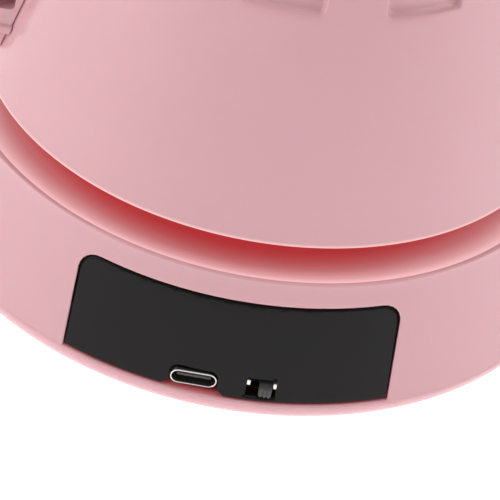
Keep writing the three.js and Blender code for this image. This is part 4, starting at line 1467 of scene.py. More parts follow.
# ---------------------------------------------------------------- base
@dataclass
class BaseShell:
    """The round base: lip, leaning side wall with the panel's window, rim, deck and neck.

    Attributes:
        lip_radius: Largest radius of the lip.
        lip_reach: Half the width of the lip's round section.
        lip_middle: Height of the lip's widest place.
        lip_rise: Half the height of the lip's round section.
        lip_top: Height of the crease above the lip.
        rim_radius: Outer radius of the rim.
        rim_foot: Height where the side wall turns into the rim.
        neck_radius: Outer radius of the neck.
        neck_hole: Radius of the hole in the neck's top.
        neck_top: Height of the neck's top.
        neck_wall: Thickness of the neck's side.
        neck_roof: Thickness of the neck's top.
        seat_radius: Radius of the seat of the bottom cover.
        columns: Steps round the axis.
        window: The window's outline in X and Z.
        window_edge: Offset and depth of each step from the outer face into the window.
    """

    lip_radius: float = 70.5
    lip_reach: float = 5.2
    lip_middle: float = 6.0
    lip_rise: float = 4.8
    lip_top: float = 6.4
    rim_radius: float = 63.42
    rim_foot: float = 29.7
    neck_radius: float = 46.15
    neck_hole: float = 38.15
    neck_top: float = 38.0
    neck_wall: float = 2.4
    neck_roof: float = 2.2
    seat_radius: float = 63.5
    columns: int = 288
    window: Outline = field(
        default_factory=lambda: Outline(
            ((-31.5, 6.4, 0.2), (31.5, 6.4, 0.2), (30.7, 25.9, 4.0), (-30.7, 25.9, 4.0)), 1.2, 6
        )
    )
    window_edge: tuple[Point2, ...] = ((0.28, 0.0), (0.1, 0.06), (0.0, 0.24), (0.0, 0.9), (0.0, 1.6))

    def outer_line(self) -> list[Point2]:
        """The outer side.

        Returns:
            Radius and height of each point, from the lip's underside to the foot of the rim.
        """
        centre = self.lip_radius - self.lip_reach
        turns = [math.radians(a) for a in range(-90, 1, 6)]
        lip = [
            (centre + self.lip_reach * math.cos(t), self.lip_middle + self.lip_rise * math.sin(t))
            for t in turns
        ]
        crease = (self.lip_radius - 0.2, self.lip_top, 0.3)
        start = (self.lip_radius - 0.12, self.lip_top - 0.18, 0)
        wall = profile((start, crease, (self.rim_radius, self.rim_foot, 0)), 1.1, 3)
        return [*lip, *wall[1:]]

    def rest_of_line(self) -> list[Point2]:
        """The rim, the deck, the neck and the deck's underside.

        Returns:
            Radius and height of each point, after the foot of the rim.
        """
        inside_neck = self.neck_radius - self.neck_wall
        roof = self.neck_top - self.neck_roof
        rim = (
            (self.rim_radius, self.rim_foot, 0),
            (63.4, 30.62, 0.4),
            (62.6, 30.66, 0.4),
            (62.15, 30.2, 0.6),
        )
        deck = ((58.9, 28.7, 4.0), (54.4, 27.25, 6.0), (48.65, 26.6, 3.0), (self.neck_radius, 26.9, 1.4))
        neck = (
            (self.neck_radius, self.neck_top, 0.4),
            (self.neck_hole, self.neck_top, 0.4),
            (self.neck_hole, roof, 0.2),
            (inside_neck, roof, 0.4),
            (inside_neck, 24.2, 1.0),
        )
        ceiling = ((53.4, 24.8, 2.0), (62.03, 26.5, 0))
        return profile((*rim, *deck, *neck, *ceiling), 2.2, 5)[1:]

    def inner_line(self) -> list[Point2]:
        """The side wall's inner face.

        Returns:
            Radius and height of each point, from the ceiling down to the cover's seat.
        """
        wall = ((62.03, 26.5, 0), (68.1, self.lip_top, 0), (64.1, 4.1, 0))
        seat = ((self.seat_radius, 2.9, 0), (self.seat_radius, 1.2, 0))
        return profile((*wall, *seat), 1.4, 3)[1:]

    def build(self) -> None:
        """Makes the shell."""
        outer, middle, inner = self.outer_line(), self.rest_of_line(), self.inner_line()
        shape = Shape()
        skin = Skin(shape, [*outer, *middle, *inner], self.columns, True)
        last_outer = len(outer) - 1
        first_inner = len(outer) + len(middle) - 1
        last_inner = len(skin.line) - 1

        def outside(x: float, z: float, depth: float) -> Vector:
            """Takes a place in the window to a point under the outer face.

            Args:
                x: X of the point.
                z: Z of the point.
                depth: How deep it lies.

            Returns:
                The point.
            """
            radius = skin.radius_at(z, 0, last_outer) - depth
            return Vector((x, -math.sqrt(radius**2 - x * x), z))

        def behind(x: float, z: float) -> Vector:
            """Takes a place in the window to a point of the inner face.

            Args:
                x: X of the point.
                z: Z of the point.

            Returns:
                The point.
            """
            radius = skin.radius_at(z, first_inner, last_inner - 3)
            return Vector((x, -math.sqrt(radius**2 - x * x), z))

        def flat(point: Vector) -> Point2:
            """Takes a point to its place in the window.

            Args:
                point: The point.

            Returns:
                Its X and Z.
            """
            return (point.x, point.z)

        rows = (skin.row_near(4.8, 0, last_outer), skin.row_near(27.6, 0, last_outer))
        loop = self.window.loop(self.window_edge[0][0])
        ring = skin.opened(rows, (-30.5, 30.5), flat, loop, lambda p: outside(p[0], p[1], 0.0))
        for grow, depth in self.window_edge[1:]:
            following = shape.loop(outside(x, z, depth) for x, z in self.window.loop(grow))
            shape.bridge(ring, following)
            ring = following
        rows = (
            skin.row_near(26.5, first_inner, last_inner),
            skin.row_near(5.0, first_inner, last_inner),
        )
        back = skin.opened(rows, (-32, 32), flat, self.window.loop(), lambda p: behind(*p))
        shape.bridge(ring, back)
        skin.close()
        shell = weighted(solid_object(shape, "shell_of_base"))
        fit_piece(shell, Slot.PINK, Body.BASE, "base_shell")


@dataclass
class ControlPanel:
    """The curved black panel in the window, with its notches for socket and switch.

    Attributes:
        low: Height of the window's lower edge.
        high: Height of the window's upper edge.
        gap: Room to the window.
        thickness: The panel's thickness.
        recess_low: How far its face lies behind the wall at its lower edge.
        recess_high: The same at its upper edge.
        shadow_gap: Room above its upper edge, which shows as a dark line.
        snug: Room round the socket.
        flare: How far the socket's notch widens at its foot, on each side.
        gate: Half the width of the switch's opening.
        gate_low: Height of the opening's lower edge.
        gate_high: Height of the opening's upper edge above the switch's middle.
        half_low: Half the panel's width at its lower edge.
        half_high: Half the panel's width at its upper edge.
        face_edge: Offset and depth of each step round its face.
    """

    low: float = 6.4
    high: float = 25.9
    gap: float = 0.3
    thickness: float = 1.4
    recess_low: float = 0.45
    recess_high: float = 0.9
    shadow_gap: float = 0.85
    snug: float = 0.14
    flare: float = 1.3
    gate: float = 2.85
    gate_low: float = 7.62
    gate_high: float = 1.65
    half_low: float = 31.32
    half_high: float = 30.55
    face_edge: tuple[Point2, ...] = ((-0.3, 0.0), (-0.16, 0.03), (-0.05, 0.12), (0.0, 0.3))

    def face_radius(self, z: float) -> float:
        """Radius of its face at a height.

        Args:
            z: The height.

        Returns:
            The radius.
        """
        share = (z - self.low) / (self.high - self.low)
        wall = 70.5 - (z - self.low) * 7.4 / 24.3
        return wall - self.recess_low - (self.recess_high - self.recess_low) * share

    def build(self) -> None:
        """Makes the panel."""
        socket, switch = centre_of("socket_shell"), centre_of("switch_frame")
        half = ChargingSocket.width / 2 + self.snug
        top = socket.z + ChargingSocket.height / 2 + self.snug
        flare = half + self.flare
        bottom = self.low + self.gap
        crown = self.high - self.shadow_gap
        outline = Outline(
            (
                (-self.half_low, bottom, 0.25),
                (socket.x - flare, bottom, 0.4),
                (socket.x - half, bottom + 1.1, 0.8),
                (socket.x - half, top, 1.75),
                (socket.x + half, top, 1.75),
                (socket.x + half, bottom + 1.1, 0.8),
                (socket.x + flare, bottom, 0.4),
                (self.half_low, bottom, 0.25),
                (self.half_high, crown, 3.4),
                (-self.half_high, crown, 3.4),
            ),
            1.0,
            5,
        )

        def place(x: float, z: float, depth: float) -> Vector:
            """Takes a place on the panel to a point under its face.

            Args:
                x: X of the point.
                z: Z of the point.
                depth: How deep it lies.

            Returns:
                The point.
            """
            radius = self.face_radius(z) - depth
            return Vector((x, -math.sqrt(radius**2 - x * x), z))

        shape = Shape()
        shape.swept(outline, [*self.face_edge, (0.0, self.thickness)], place, 1.5)
        backing = Outline(
            ((-33.0, 12.5, 0.5), (33.0, 12.5, 0.5), (32.0, 26.0, 3.0), (-32.0, 26.0, 3.0)), 1.6, 4
        )
        sheet = Shape()
        sheet.swept(backing, [(-0.2, 2.6), (0.0, 2.8), (0.0, 3.5), (-0.2, 3.6)], place, 4.0)
        panel = carved(solid_object(shape, "panel_face"), [sheet], "UNION")
        opening = cuboid(
            (switch.x - self.gate, -75.0, self.gate_low),
            (switch.x + self.gate, -60.0, switch.z + self.gate_high + self.gap),
            0.3,
        )
        carved(panel, [opening])
        well = cuboid(
            (socket.x - half, -68.9, bottom - 1.0), (socket.x + half, -60.0, socket.z + 0.2), 0.2
        )
        carved(panel, [well])
        fit_piece(weighted(softened(panel, 0.02, 1, 80)), Slot.PANEL, Body.BASE, "control_panel")


@dataclass
class ChargingSocket:
    """The metal socket shell with its tongue.

    Attributes:
        width: Outer width of the shell.
        height: Outer height of the shell.
        skin: Thickness of its metal.
        depth: Its depth.
        tongue_half: Half the tongue's width.
        tongue_thick: Half the tongue's thickness.
    """

    width: float = 8.94
    height: float = 3.26
    skin: float = 0.3
    depth: float = 7.6
    tongue_half: float = 3.3
    tongue_thick: float = 0.35

    def build(self) -> None:
        """Makes the shell and the tongue."""
        low, _ = box_of("socket_shell")
        centre, front = centre_of("socket_shell"), low.y
        w, h = self.width / 2, self.height / 2
        outline = Outline(((-w, -h, h), (w, -h, h), (w, h, h), (-w, h, h)), 1.0, 10)

        def place(x: float, z: float, depth: float) -> Vector:
            """Takes a place measured from the socket's middle to a point.

            Args:
                x: X of the point.
                z: Z of the point.
                depth: How deep it lies.

            Returns:
                The point.
            """
            return Vector((centre.x + x, front + depth, centre.z + z))

        steps = [(0, self.depth), (0, 0.1), (-0.05, 0.02), (-0.1, 0), (-0.22, 0)]
        steps += [(-0.28, 0.04), (-self.skin, 0.12), (-self.skin, self.depth - 0.4)]
        shell = Shape()
        shell.swept(outline, steps, place, 20)
        ring = weighted(solid_object(shell, "ring_of_socket"))
        fit_piece(ring, Slot.STEEL, Body.BASE, "socket_shell")
        tongue = cuboid(
            (centre.x - self.tongue_half, front + 0.8, centre.z - self.tongue_thick),
            (centre.x + self.tongue_half, front + 5.0, centre.z + self.tongue_thick),
            0.12,
        )
        plug = Shape()
        plug.swept(outline, [(-0.5, 6.7), (-0.5, 4.9)], place, 20)
        insert = carved(solid_object(tongue, "insert_of_socket"), [plug], "UNION")
        fit_piece(softened(insert, 0.05, 2), Slot.DARK, Body.BASE, "socket_tongue")


@dataclass
class PowerSwitch:
    """The slide switch: a plated frame and a ribbed knob that slides in its slot.

    Attributes:
        slot_half: Half the slot's width.
        rib_pitch: Distance between the knob's ribs.
        ear: Height of the plated ears beside the slot.
        ear_in: Inner side of an ear from the switch's middle.
        ear_out: Outer side of an ear from the switch's middle.
        ear_reach: How far the ears come forward.
        rib_half: Half the width of one of the knob's ribs.
    """

    slot_half: float = 2.35
    rib_pitch: float = 0.8
    ear: float = 1.2
    ear_in: float = 2.15
    ear_out: float = 2.85
    ear_reach: float = 2.1
    rib_half: float = 0.22

    def darken(self, case: Piece, front: float, top: float) -> None:
        """Gives the frame a dark red-brown, partly the switch's dark moulding and partly painted shade over its
        plated front, and leaves the plated front of its top strip and ears bright.

        Args:
            case: The frame.
            front: Y of its front face.
            top: Height above which the front face is plated.
        """
        case.data.materials.append(SWITCH_MOULDING_AND_SHADE.material())
        for polygon in case.data.polygons:
            middle = polygon.center / MM
            plated = middle.z > top and middle.y < front + 0.3
            polygon.material_index = 0 if plated else 1

    def build(self) -> None:
        """Makes the frame and the knob."""
        low, high = box_of("switch_frame")
        middle = (low + high) / 2
        frame_block = solid_object(cuboid(low, high, 0.25), "frame_of_switch")
        slot = cuboid(
            (middle.x - self.slot_half, low.y - 1, low.z + 0.3),
            (middle.x + self.slot_half, low.y + 1.6, high.z - 0.5),
            0.1,
        )
        carved(frame_block, [slot])
        for side in (-1, 1):
            near, far = sorted((middle.x + side * self.ear_in, middle.x + side * self.ear_out))
            ear = cuboid(
                (near, low.y - self.ear_reach, high.z - 0.95), (far, low.y + 0.5, high.z + 0.2), 0.1
            )
            carved(frame_block, [ear], "UNION")
        case = softened(frame_block, 0.06, 2)
        fit_piece(weighted(case), Slot.STEEL, Body.BASE, "switch_frame")
        self.darken(case, low.y, high.z - self.ear)
        low, high = box_of("switch_knob")
        middle = (low + high) / 2
        knob = solid_object(cuboid((low.x, low.y + 0.3, low.z), high, 0.18), "knob_of_switch")
        for i in (-1, 0, 1):
            rib_x = middle.x + i * self.rib_pitch
            rib = cuboid(
                (rib_x - self.rib_half, low.y, low.z + 0.05),
                (rib_x + self.rib_half, low.y + 0.6, high.z - 0.05),
                0.1,
            )
            carved(knob, [rib], "UNION")
        fit_piece(weighted(softened(knob, 0.04, 2)), Slot.DARK, Body.KNOB, "switch_knob")


def add_screw(node: str, up: bool = False, body: Body = Body.BASE) -> None:
    """Makes a pan-head screw in the place of its CAD node.

    Args:
        node: The node.
        up: Whether the head is at the top.
        body: The body it rides on.
    """
    head, head_height, shank, slot_depth = 2.2, 1.6, 1.2, 0.7
    low, high = box_of(node)
    middle = (low + high) / 2
    length = high.z - low.z
    corners = (
        (0, 0, 0),
        (head - 0.45, 0.0, 0.6),
        (head, 0.75, 0.3),
        (head, head_height, 0.12),
        (shank, head_height, 0.1),
        (shank, length, 0.2),
        (0, length, 0),
    )
    shape = turned(profile(corners, 1.5, 4), 40)
    slot = cuboid((-0.4, -3, -1), (0.4, 3, slot_depth), 0.05)
    flip = Matrix.Rotation(math.pi, 4, "X") if up else Matrix.Identity(4)
    place = Matrix.Translation((middle.x, middle.y, high.z if up else low.z)) @ flip
    made = carved(solid_object(moved(shape, place), f"head_{node}"), [moved(slot, place)])
    fit_piece(weighted(softened(made, 0.06, 2, 45)), Slot.STEEL, body, node)


@dataclass
class Underside:
    """The bottom cover with its recesses, the four feet and the four screws.

    Attributes:
        radius: Radius of the cover.
        low: Height of its underside.
        high: Height of its top.
        foot_radius: Radius of a foot.
        foot_height: Height of a foot.
        boss: Radius of a screw's boss inside.
        cup: Radius of a foot's cup inside.
    """

    radius: float = 63.2
    low: float = 0.6
    high: float = 2.6
    foot_radius: float = 6.0
    foot_height: float = 2.0
    boss: float = 4.5
    cup: float = 7.6

    def build(self) -> None:
        """Makes the pieces."""
        feet = [centre_of(f"rubber_foot_{i}") for i in range(1, 5)]
        screws = [centre_of(f"cover_screw_{i}") for i in range(1, 5)]
        corners = (
            (0, self.low, 0),
            (self.radius, self.low, 0.5),
            (self.radius, self.high, 0.3),
            (0, self.high, 0),
        )
        disc = solid_object(turned(profile(corners, 3.0, 4), 192), "plate_of_base")
        for spot in screws:
            carved(disc, [rod(self.boss, self.low + 0.01, 5.2, 0.3, spot.x, spot.y)], "UNION")
        for spot in feet:
            carved(disc, [rod(self.cup, self.low + 0.01, 4.0, 0.3, spot.x, spot.y)], "UNION")
        recess, depth = self.foot_radius + RUNNING_GAP, self.foot_height + RUNNING_GAP
        hollows = [rod(SCREW_SEAT, -1, 3.2, 0.05, s.x, s.y) for s in screws]
        hollows += [rod(SCREW_HOLE, 0, 7, 0.05, s.x, s.y) for s in screws]
        hollows += [rod(recess, -1, depth, 0.05, f.x, f.y) for f in feet]
        carved(disc, hollows)
        fit_piece(weighted(softened(disc, 0.2, 2, 50)), Slot.PINK, Body.BASE, "bottom_cover")
        corners = (
            (0, 0, 0),
            (self.foot_radius, 0, 0.6),
            (self.foot_radius, self.foot_height, 0.1),
            (0, self.foot_height, 0),
        )
        for i, spot in enumerate(feet, start=1):
            shape = turned(profile(corners, 1.5, 5), 64)
            foot = moved(shape, Matrix.Translation((spot.x, spot.y, 0)))
            pad = weighted(solid_object(foot, f"pad_{i}"))
            fit_piece(pad, Slot.RUBBER, Body.BASE, f"rubber_foot_{i}")
        for i in range(1, 5):
            add_screw(f"cover_screw_{i}")


# ---------------------------------------------------------------- body
@dataclass
class UpperShell:
    """The conical body with its flutes and the ledge that the latch hooks under.

    Attributes:
        skirt_radius: Radius at the skirt's edge.
        skirt_z: Height of the skirt's edge.
        top_radius: Radius at the top.
        top_z: Height of the top.
        flute_count: Flutes in a full round.
        flute_phase: Azimuth of the first flute in degrees.
        flute_half: Half a flute's width in degrees.
        flute_low: Height of a flute's lower edge.
        flute_high: Height of a flute's upper edge.
        flute_edge: Offset and depth of each step into a flute.
        spine_room: Degrees on each side of the spine without flutes.
        ledge_half: Half the length of the ledge for the latch.
        columns: Steps round the axis.
    """

    skirt_radius: float = 59.15
    skirt_z: float = 36.1
    top_radius: float = 43.25
    top_z: float = PARTING
    flute_count: int = 11
    flute_phase: float = -2.6
    flute_half: float = 9.25
    flute_low: float = 80.0
    flute_high: float = 92.6
    flute_edge: tuple[Point2, ...] = (
        (0.45, 0.0),
        (0.2, 0.08),
        (0.04, 0.28),
        (0.0, 0.55),
        (-0.1, 0.95),
        (-0.4, 1.25),
        (-0.9, 1.4),
    )
    spine_room: float = 42.95
    ledge_half: float = 8.5
    columns: int = 288

    def radius(self, z: float) -> float:
        """Radius of the cone at a height.

        Args:
            z: The height.

        Returns:
            The radius.
        """
        share = (z - self.skirt_z) / (self.top_z - self.skirt_z)
        return self.skirt_radius + (self.top_radius - self.skirt_radius) * share

    def azimuths(self) -> list[float]:
        """Places of the flutes that clear the spine and the catch.

        Returns:
            Their middles in degrees.
        """
        found = []
        for i in range(self.flute_count):
            azimuth = (self.flute_phase + 360 / self.flute_count * i + 180) % 360 - 180
            if abs(azimuth + 90) > self.spine_room and abs(azimuth - 90) > 2 * self.flute_half:
                found.append(azimuth)
        return found

    def flute(self, skin: Skin, rows: tuple[int, int], azimuth: float) -> None:
        """Puts one flute into the skin.

        Args:
            skin: The skin of the body.
            rows: First and last row of its block.
            azimuth: Its middle in degrees.
        """
        scale = math.radians(1) * 45.5
        half = self.flute_half * scale
        outline = Outline(
            (
                (-half, self.flute_low, 1.1),
                (half, self.flute_low, 1.1),
                (half, self.flute_high, 1.1),
                (-half, self.flute_high, 1.1),
            ),
            1.2,
            5,
        )

        def place(u: float, z: float, depth: float) -> Vector:
            """Takes a plane point to a point under the cone.

            Args:
                u: Its place round the cone.
                z: Its height.
                depth: How deep it lies.

            Returns:
                The point.
            """
            return on_axis(self.radius(z) - depth, azimuth + u / scale, z)

        def flat(point: Vector) -> Point2:
            """Takes a point of the cone to the plane.

            Args:
                point: The point.

            Returns:
                Its place round the cone and its height.
            """
            turn = math.degrees(math.atan2(point.x, -point.y)) - azimuth
            return (((turn + 180) % 360 - 180) * scale, point.z)

        margin = self.flute_half + 2.4
        block = (azimuth - margin, azimuth + margin)
        mouth = outline.loop(self.flute_edge[0][0])
        shape = skin.shape
        ring = skin.opened(rows, block, flat, mouth, lambda p: place(p[0], p[1], 0))
        for grow, depth in self.flute_edge[1:]:
            following = shape.loop(place(u, z, depth) for u, z in outline.loop(grow))
            shape.bridge(ring, following)
            ring = following
        grow, depth = self.flute_edge[-1]
        shape.fill(ring, outline.loop(grow), 1.3, lambda p: place(p[0], p[1], depth))

    def build(self) -> None:
        """Makes the body."""
        edge = (self.skirt_radius - 0.55, self.skirt_z, 0)
        brim = (self.top_radius - 1.25, self.top_z, 0)
        skirt = (self.skirt_radius, self.skirt_z, 0.45)
        outer = profile((edge, skirt, (self.top_radius, self.top_z, 0.6), brim), 1.5, 5)
        mould_seat = ((40.0, self.top_z, 0.3), (40.0, 92.2, 0.3), (34.4, 92.2, 0.5), (34.4, 87.2, 0.5))
        inside_wall = ((44.18, 81.2, 2.0), (54.98, 40.5, 2.0))
        floor = ((34.15, 40.5, 0.3), (34.15, 38.3, 0.3), (56.17, 38.3, 0.6), (58.25, self.skirt_z, 0.2))
        corners = (brim, *mould_seat, *inside_wall, *floor, edge)
        shape = Shape()
        skin = Skin(shape, [*outer, *profile(corners, 3.0, 4)[1:-1]], self.columns, True)
        last = len(outer) - 1
        rows = (skin.row_near(77.6, 0, last), skin.row_near(94.2, 0, last))
        for azimuth in self.azimuths():
            self.flute(skin, rows, azimuth)
        skin.close()
        body = solid_object(shape, "cone_of_body")
        section = Outline(
            (
                (41.0, 89.3, 0.2),
                (48.6, 89.3, 0.4),
                (48.6, 90.6, 0.5),
                (47.0, 92.0, 0.5),
                (41.0, 92.0, 0.2),
            ),
            3.0,
            3,
        )
        ledge = Shape()
        ledge.swept(section, edge_steps(-self.ledge_half, self.ledge_half, 0.4), along_y)
        carved(body, [ledge], "UNION")
        fit_piece(weighted(body), Slot.PINK, Body.BASE, "upper_shell")

    def room(self, low: float = 31.1, high: float = 124.5) -> Shape:
        """The room that the body's cone takes, grown by a gap.

        Args:
            low: Where the room starts.
            high: Where it ends.

        Returns:
            The room.
        """
        line = [(0, low), *((self.radius(z) + RUNNING_GAP, z) for z in (low, high)), (0, high)]
        return turned(line, 192)


@dataclass
class RearSpine:
    """The hinge spine behind the body, with its bead, ribs, side pockets and hinge ears.

    Attributes:
        half: Half its width.
        outer: X of its outer face.
        low: Height of its underside.
        bead: Height of the bead along its underside.
        rib_ys: Middles of the ribs under it.
        rib_half: Half a rib's thickness.
        rib_drop: How far the ribs reach under it.
        ear_gap: Half the room between the hinge ears.
        pocket: X of the back and the front of the pocket in each side.
        pocket_top: Height of the pockets' upper edge.
        pin_half: Half the hinge pin's length.
    """

    half: float = 21.5
    outer: float = -57.5
    low: float = 46.5
    bead: float = 2.2
    rib_ys: tuple[float, ...] = (-20.0, -10.0, 0.0, 10.0, 20.0)
    rib_half: float = 0.8
    rib_drop: float = 4.0
    ear_gap: float = 12.3
    pocket: Point2 = (-55.5, -51.6)
    pocket_top: float = 89.0
    pin_half: float = 20.5

    def build(self, envelope: Shape) -> None:
        """Makes the spine and the pin.

        Args:
            envelope: The room that the body takes.
        """
        hinge = joint_at("lid_hinge")
        section = Outline(
            (
                (self.outer, self.low, 0.4),
                (-30.0, self.low, 0.2),
                (-30.0, hinge.z - 5.5, 0.2),
                (hinge.x + 5.5, hinge.z - 5.5, 0.2),
                (hinge.x + 5.5, hinge.z + 5.5, 5.5),
                (self.outer, hinge.z + 5.5, 5.5),
            ),
            2.0,
            12,
        )
        block = Shape()
        block.swept(section, edge_steps(-self.half, self.half, 1.3, 5), along_y, 4.0)
        spine = solid_object(block, "spine_of_body")
        reach = self.half + 0.6
        bead = cuboid((self.outer - 0.6, -reach, self.low), (-32, reach, self.low + self.bead), 0.6)
        carved(spine, [bead], "UNION")
        foot = self.low - self.rib_drop
        rib = Outline(
            (
                (self.outer + 0.3, foot, 0.3),
                (-34, foot, 0.2),
                (-34, self.low + 1, 0.1),
                (self.outer + 0.3, self.low + 1, 0.1),
            ),
            9,
            3,
        )
        for y in self.rib_ys:
            bar = Shape()
            bar.swept(rib, edge_steps(y - self.rib_half, y + self.rib_half, 0.25, 2), along_y, 90)
            carved(spine, [bar], "UNION")
        back, front = self.pocket
        pocket_low = self.low + 5.7
        slot_low = (self.outer - 3, -self.ear_gap, hinge.z - 5.7)
        tools = [
            cuboid(slot_low, (-20, self.ear_gap, hinge.z + 20), 0.3),
            cuboid((back, -self.half - 3, pocket_low), (front, -self.half + 6, self.pocket_top), 0.9),
            cuboid((back, self.half - 6, pocket_low), (front, self.half + 3, self.pocket_top), 0.9),
            pin_hole(hinge),
            envelope,
        ]
        for tool in tools:
            carved(spine, [tool])
        fit_piece(weighted(softened(spine, 0.3, 3, 50)), Slot.PINK, Body.BASE, "rear_spine")
        add_cross_pin(hinge, self.pin_half, "rod_of_hinge", Body.BASE, "hinge_pin")


# ---------------------------------------------------------------- moulds
@dataclass
class Mould:
    """A donut mould: a flange, a ring-shaped trough and three screw seats.

    Attributes:
        node: Its CAD node.
        face: Height of its face.
        side: -1 when its trough goes down, and 1 when it goes up.
        body: The body it rides on.
        radius: Radius of its flange.
        ring: Radius of the trough's middle.
        trough: Half the trough's width.
        skin: Thickness behind the trough.
        flange: Thickness of the flange.
        lip: Width of the rounding round the trough.
    """

    node: str
    face: float
    side: int
    body: Body
    radius: float = 39.6
    ring: float = 20.0
    trough: float = 11.5
    skin: float = 2.0
    flange: float = 2.6
    lip: float = 0.6

    def arc(self, radius: float, start: float, steps: int) -> list[Point2]:
        """A half round about the trough's middle, from its outer side to its inner side.

        Args:
            radius: Its radius.
            start: Angle at which it starts and before which it ends.
            steps: Chords in it.

        Returns:
            Radius and depth of each point.
        """
        turns = [start + (math.pi - 2 * start) * i / steps for i in range(steps + 1)]
        return [(self.ring + radius * math.cos(t), radius * math.sin(t)) for t in turns]

    def build(self) -> None:
        """Makes the mould."""
        outer = self.trough + self.skin
        back = self.arc(outer, math.asin(self.flange / outer), 20)[::-1]
        bowl = self.arc(self.trough, self.lip / self.trough, 24)
        rim = [
            (self.radius, self.flange),
            (self.radius, 0.3),
            (self.radius - 0.1, 0.08),
            (self.radius - 0.3, 0.0),
            (36.0, 0.0),
            (self.ring + self.trough + self.lip, 0.0),
            (self.ring + self.trough + 0.15, 0.12),
        ]
        hub = [
            (self.ring - self.trough - 0.15, 0.12),
            (self.ring - self.trough - self.lip, 0.0),
            (4.0, 0.0),
            (0.0, 0.0),
        ]
        line = [(0.0, self.flange), (3.0, self.flange), *back, *rim, *bowl, *hub]
        placed = [(r, self.face + self.side * z) for r, z in line]
        made = solid_object(turned(placed, 160), f"dish_{self.node}")
        low, high = sorted((self.face - self.side * 2, self.face + self.side * 1.7))
        for i in range(1, 4):
            spot = centre_of(f"{self.node}_screw_{i}")
            carved(made, [rod(SCREW_SEAT, low, high, 0.05, spot.x, spot.y)])
            carved(made, [rod(SCREW_HOLE, self.face - 5, self.face + 5, 0.05, spot.x, spot.y)])
            add_screw(f"{self.node}_screw_{i}", up=self.side < 0, body=self.body)
        fit_piece(weighted(softened(made, 0.12, 2, 60)), Slot.NONSTICK, self.body, self.node)


